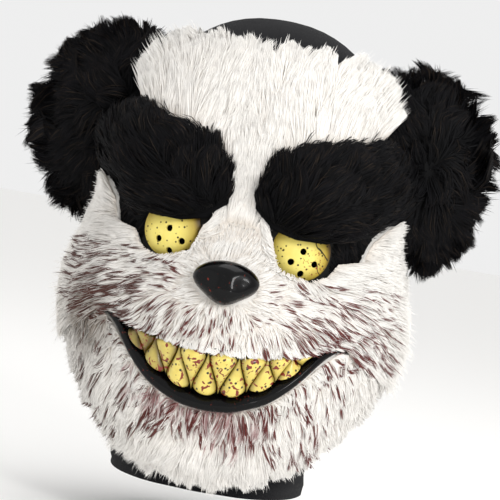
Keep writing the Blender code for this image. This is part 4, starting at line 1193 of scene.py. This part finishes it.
# the hood's ovals by height, with a fold under the chin, faint cross folds and an oval face opening
def makeHood():
    turn = np.linspace(-math.pi, math.pi, hood["columns"], endpoint=False)
    below = np.linspace(-hood["neckDrop"], form["domeBase"], hood["lowRows"])
    rise = np.linspace(0, math.pi / 2, hood["domeRows"])[1:-1]
    foldLow, foldHigh = -0.80 * hood["neckDrop"], -0.93 * hood["neckDrop"]
    wallPoints = []
    outside = form["shellWall"] + form["clearance"]
    for inset in (outside, outside + form["fabric"]):
        top = formTop - inset
        above = form["domeBase"] + (top - form["domeBase"]) * np.sin(rise) ** (2 / form["domePower"])
        height = np.concatenate([below, above])[:, None]
        radius = sectionRadius(turn, height, hoodSections, inset)
        roll = bell((height - foldLow) / hood["neckFold"])
        roll = roll + 0.6 * bell((height - foldHigh) / (0.6 * hood["neckFold"]))
        radius = radius + hood["neckRoll"] * roll * (0.6 + 0.4 * np.cos(turn))
        neck = ramp((-0.075 - height) / 0.03)
        behind = ramp(-np.cos(turn) / 0.5 + 0.2)
        radius = radius + 0.0007 * neck * np.sin(9 * turn + 260 * height + 2 * np.sin(3 * turn))
        radius = radius + 0.0006 * behind * np.sin(5 * turn - 120 * height) * ramp((0.10 - height) / 0.05)
        level = height + 0 * turn - form["crownRise"]
        wallPoints.append(np.stack([radius * np.sin(turn), -radius * np.cos(turn), level], -1))
        wallPoints.append(np.array([[[0, 0, top - form["crownRise"]]]]))
    outer, outerTip, inner, innerTip = wallPoints
    rows, columns = outer.shape[:2]
    count = rows * columns
    around = np.arange(columns)
    after = np.roll(around, -1)
    last, lastAfter = around + count - columns, after + count - columns
    crown = np.stack([last, lastAfter, np.full(columns, 2 * count)], -1)
    crownIn = np.stack([lastAfter + count, last + count, np.full(columns, 2 * count + 1)], -1)
    hem = np.stack([after, around, around + count], -1), np.stack([after, around + count, after + count], -1)
    faces = np.concatenate([
        gridTriangles(rows, columns, 0, True), gridTriangles(rows, columns, count, True)[:, ::-1],
        crown, crownIn, *hem,
    ])
    points = np.concatenate([outer.reshape(-1, 3), inner.reshape(-1, 3), outerTip[0], innerTip[0]])
    piece = newPiece("knitHood", points, faces, knitFinish())
    cutAway(piece, faceOpening())
    places = placesOf(piece.data)
    bearing = np.abs(np.arctan2(places[:, 0], -places[:, 1]))
    giveValues(piece.data, {"rib": bearing * 2 * math.pi * 0.09 / hood["ribPitch"]})
    piece.data.shade_smooth()
    piece.data.set_sharp_from_angle(angle=math.radians(50))
    standFor(piece, "black_knit", "hood")


# an oval drum through the front, inside the outline of the hard face
def faceOpening():
    low, high = hood["openLow"] * form["faceHeight"], hood["openHigh"] * form["faceHeight"]
    around = np.linspace(0, 2 * math.pi, 64, endpoint=False)
    across = hood["openAcross"] * form["halfWidth"] * np.cos(around)
    up = (low + high) / 2 + (high - low) / 2 * np.sin(around) - form["crownRise"]
    back = np.stack([across, np.full_like(up, -0.2 * form["faceDepth"]), up], -1)
    front = back - [0, 1.5 * form["faceDepth"], 0]
    return newPiece("faceOpening", *ball(np.stack([back, front]), back.mean(0), front.mean(0)))


# satin moulded vinyl of the hard face: black, faintly grained
def vinylFinish():
    finish, tree, shader = newFinish("satinMouldedVinyl", {"IOR": 1.53, "Specular IOR Level": 0.14})
    place = addNode(tree, "TexCoord")
    grain = addNode(tree, "TexNoise", {"Scale": scaleFor(1.429), "Detail": 3.0},
                    {"Vector": place.outputs["Object"]})
    broad = addNode(tree, "TexNoise", {"Scale": scaleFor(16.67), "Detail": 2.0},
                    {"Vector": place.outputs["Object"]})
    colour = addNode(tree, "Mix", {"data_type": "RGBA", 6: linearRgba("#0a0a0b"), 7: linearRgba("#17150f")},
                     {0: broad.outputs["Fac"]})
    dull = addNode(tree, "MapRange", {"From Min": 0.3, "From Max": 0.7, "To Min": 0.45, "To Max": 0.62},
                   {"Value": broad.outputs["Fac"]})
    bump = addNode(tree, "Bump", {"Strength": 0.3, "Distance": 0.0003}, {"Height": grain.outputs["Fac"]})
    tree.links.new(colour.outputs[2], shader.inputs["Base Color"])
    tree.links.new(dull.outputs["Result"], shader.inputs["Roughness"])
    tree.links.new(bump.outputs["Normal"], shader.inputs["Normal"])
    return finish


studio = {
    "target": (0.0096, -0.110, 0.0254),  # from the nose's height
    "distance": 1.20, "yaw": 3.4, "rise": 2.0, "roll": 10.0, "field": 0.315,
    "floorDrop": 0.030, "floorRadius": 8.0, "world": 0.86,
    "lights": (
        # name, place, size, watts
        ("key", (0.95, -1.45, 0.55), 0.45, 14.0),
        ("fill", (-1.30, -1.10, 0.15), 1.2, 0.8),
        ("top", (0.10, 0.10, 1.30), 0.9, 6.0),
        ("glint", (0.45, -1.35, -0.24), 0.12, 1.3),  # small and low, for the wet line along the lip
    ),
}


# right, up, back and place as the columns of a matrix
def posed(right, up, back, place):
    rows = np.stack([right, up, back, place], -1)
    return Matrix([*rows.tolist(), [0, 0, 0, 1]])


# camera: forward from its place to the target, then right and up turned by the roll about it
def placeCamera():
    yaw, rise, roll = (math.radians(studio[key]) for key in ("yaw", "rise", "roll"))
    target = np.array(studio["target"]) - [0, 0, form["crownRise"]]
    back = np.array([math.sin(yaw) * math.cos(rise), -math.cos(yaw) * math.cos(rise), math.sin(rise)])
    right = unit(np.cross([0, 0, 1.0], back))
    up = np.cross(back, right)
    turnedRight = right * math.cos(roll) + up * math.sin(roll)
    turnedUp = up * math.cos(roll) - right * math.sin(roll)
    data = bpy.data.cameras.new("camera")
    data.sensor_width = 36.0
    data.lens = 36.0 * studio["distance"] / studio["field"]
    camera = bpy.data.objects.new("camera", data)
    bpy.context.scene.collection.objects.link(camera)
    camera.matrix_world = posed(turnedRight, turnedUp, back, target + back * studio["distance"])
    bpy.context.scene.camera = camera


# area lights turned to the face, a white world and a round floor
def lightStudio():
    for name, place, size, watts in studio["lights"]:
        data = bpy.data.lights.new(name, "AREA")
        data.size = size
        data.energy = watts
        light = bpy.data.objects.new(name, data)
        bpy.context.scene.collection.objects.link(light)
        back = unit(np.array(place) - [0, studio["target"][1], -form["crownRise"]])
        right = unit(np.cross([0, 0, 1.0], back))
        light.matrix_world = posed(right, np.cross(back, right), back, np.array(place))
    world = bpy.data.worlds.new("paleWorld")
    world.use_nodes = True
    background = world.node_tree.nodes["Background"]
    background.inputs["Color"].default_value = (1, 1, 1, 1)
    background.inputs["Strength"].default_value = studio["world"]
    bpy.context.scene.world = world
    paper = newFinish("palePaper", {"Base Color": linearRgba("#fbfaf8"), "Roughness": 0.9})[0]
    around = np.linspace(0, 2 * math.pi, 64, endpoint=False)
    edge = np.stack([np.cos(around), np.sin(around), 0 * around], -1) * studio["floorRadius"]
    points = np.concatenate([edge, [[0, 0, 0]]]) + [0, 0, cadBox[0][2] - studio["floorDrop"]]
    index = np.arange(64)
    faces = np.stack([index, np.roll(index, -1), np.full(64, 64)], -1)
    newPiece("floor", points, faces, paper)


bpy.context.scene.view_settings.view_transform = "Standard"  # the paint's own colours, with no film curve
placeCamera()
lightStudio()
print("camera, lights and floor placed")
makeMuzzleFur()
makeForeheadFur()
makeJawFur()
for side, word in ((-1, "left"), (1, "right")):
    makeBrowFur(side, word)
    makeEar(side, word)
    makeEye(side, word)
makeNose()
makeLip()
toothPaint = toothFinish()
for row, halfPitch in (("lower", 0.0), ("upper", 0.5)):
    for number in range(mouth[row]):
        middle = (number - (mouth[row] - 1) / 2 + halfPitch) * mouth["pitch"] + mouth["shift"]
        makeTooth(number + 1, middle, row, toothPaint)
makeHood()
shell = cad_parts["face_shell"]
shell.data.materials.clear()
shell.data.materials.append(vinylFinish())
print("pieces finished")
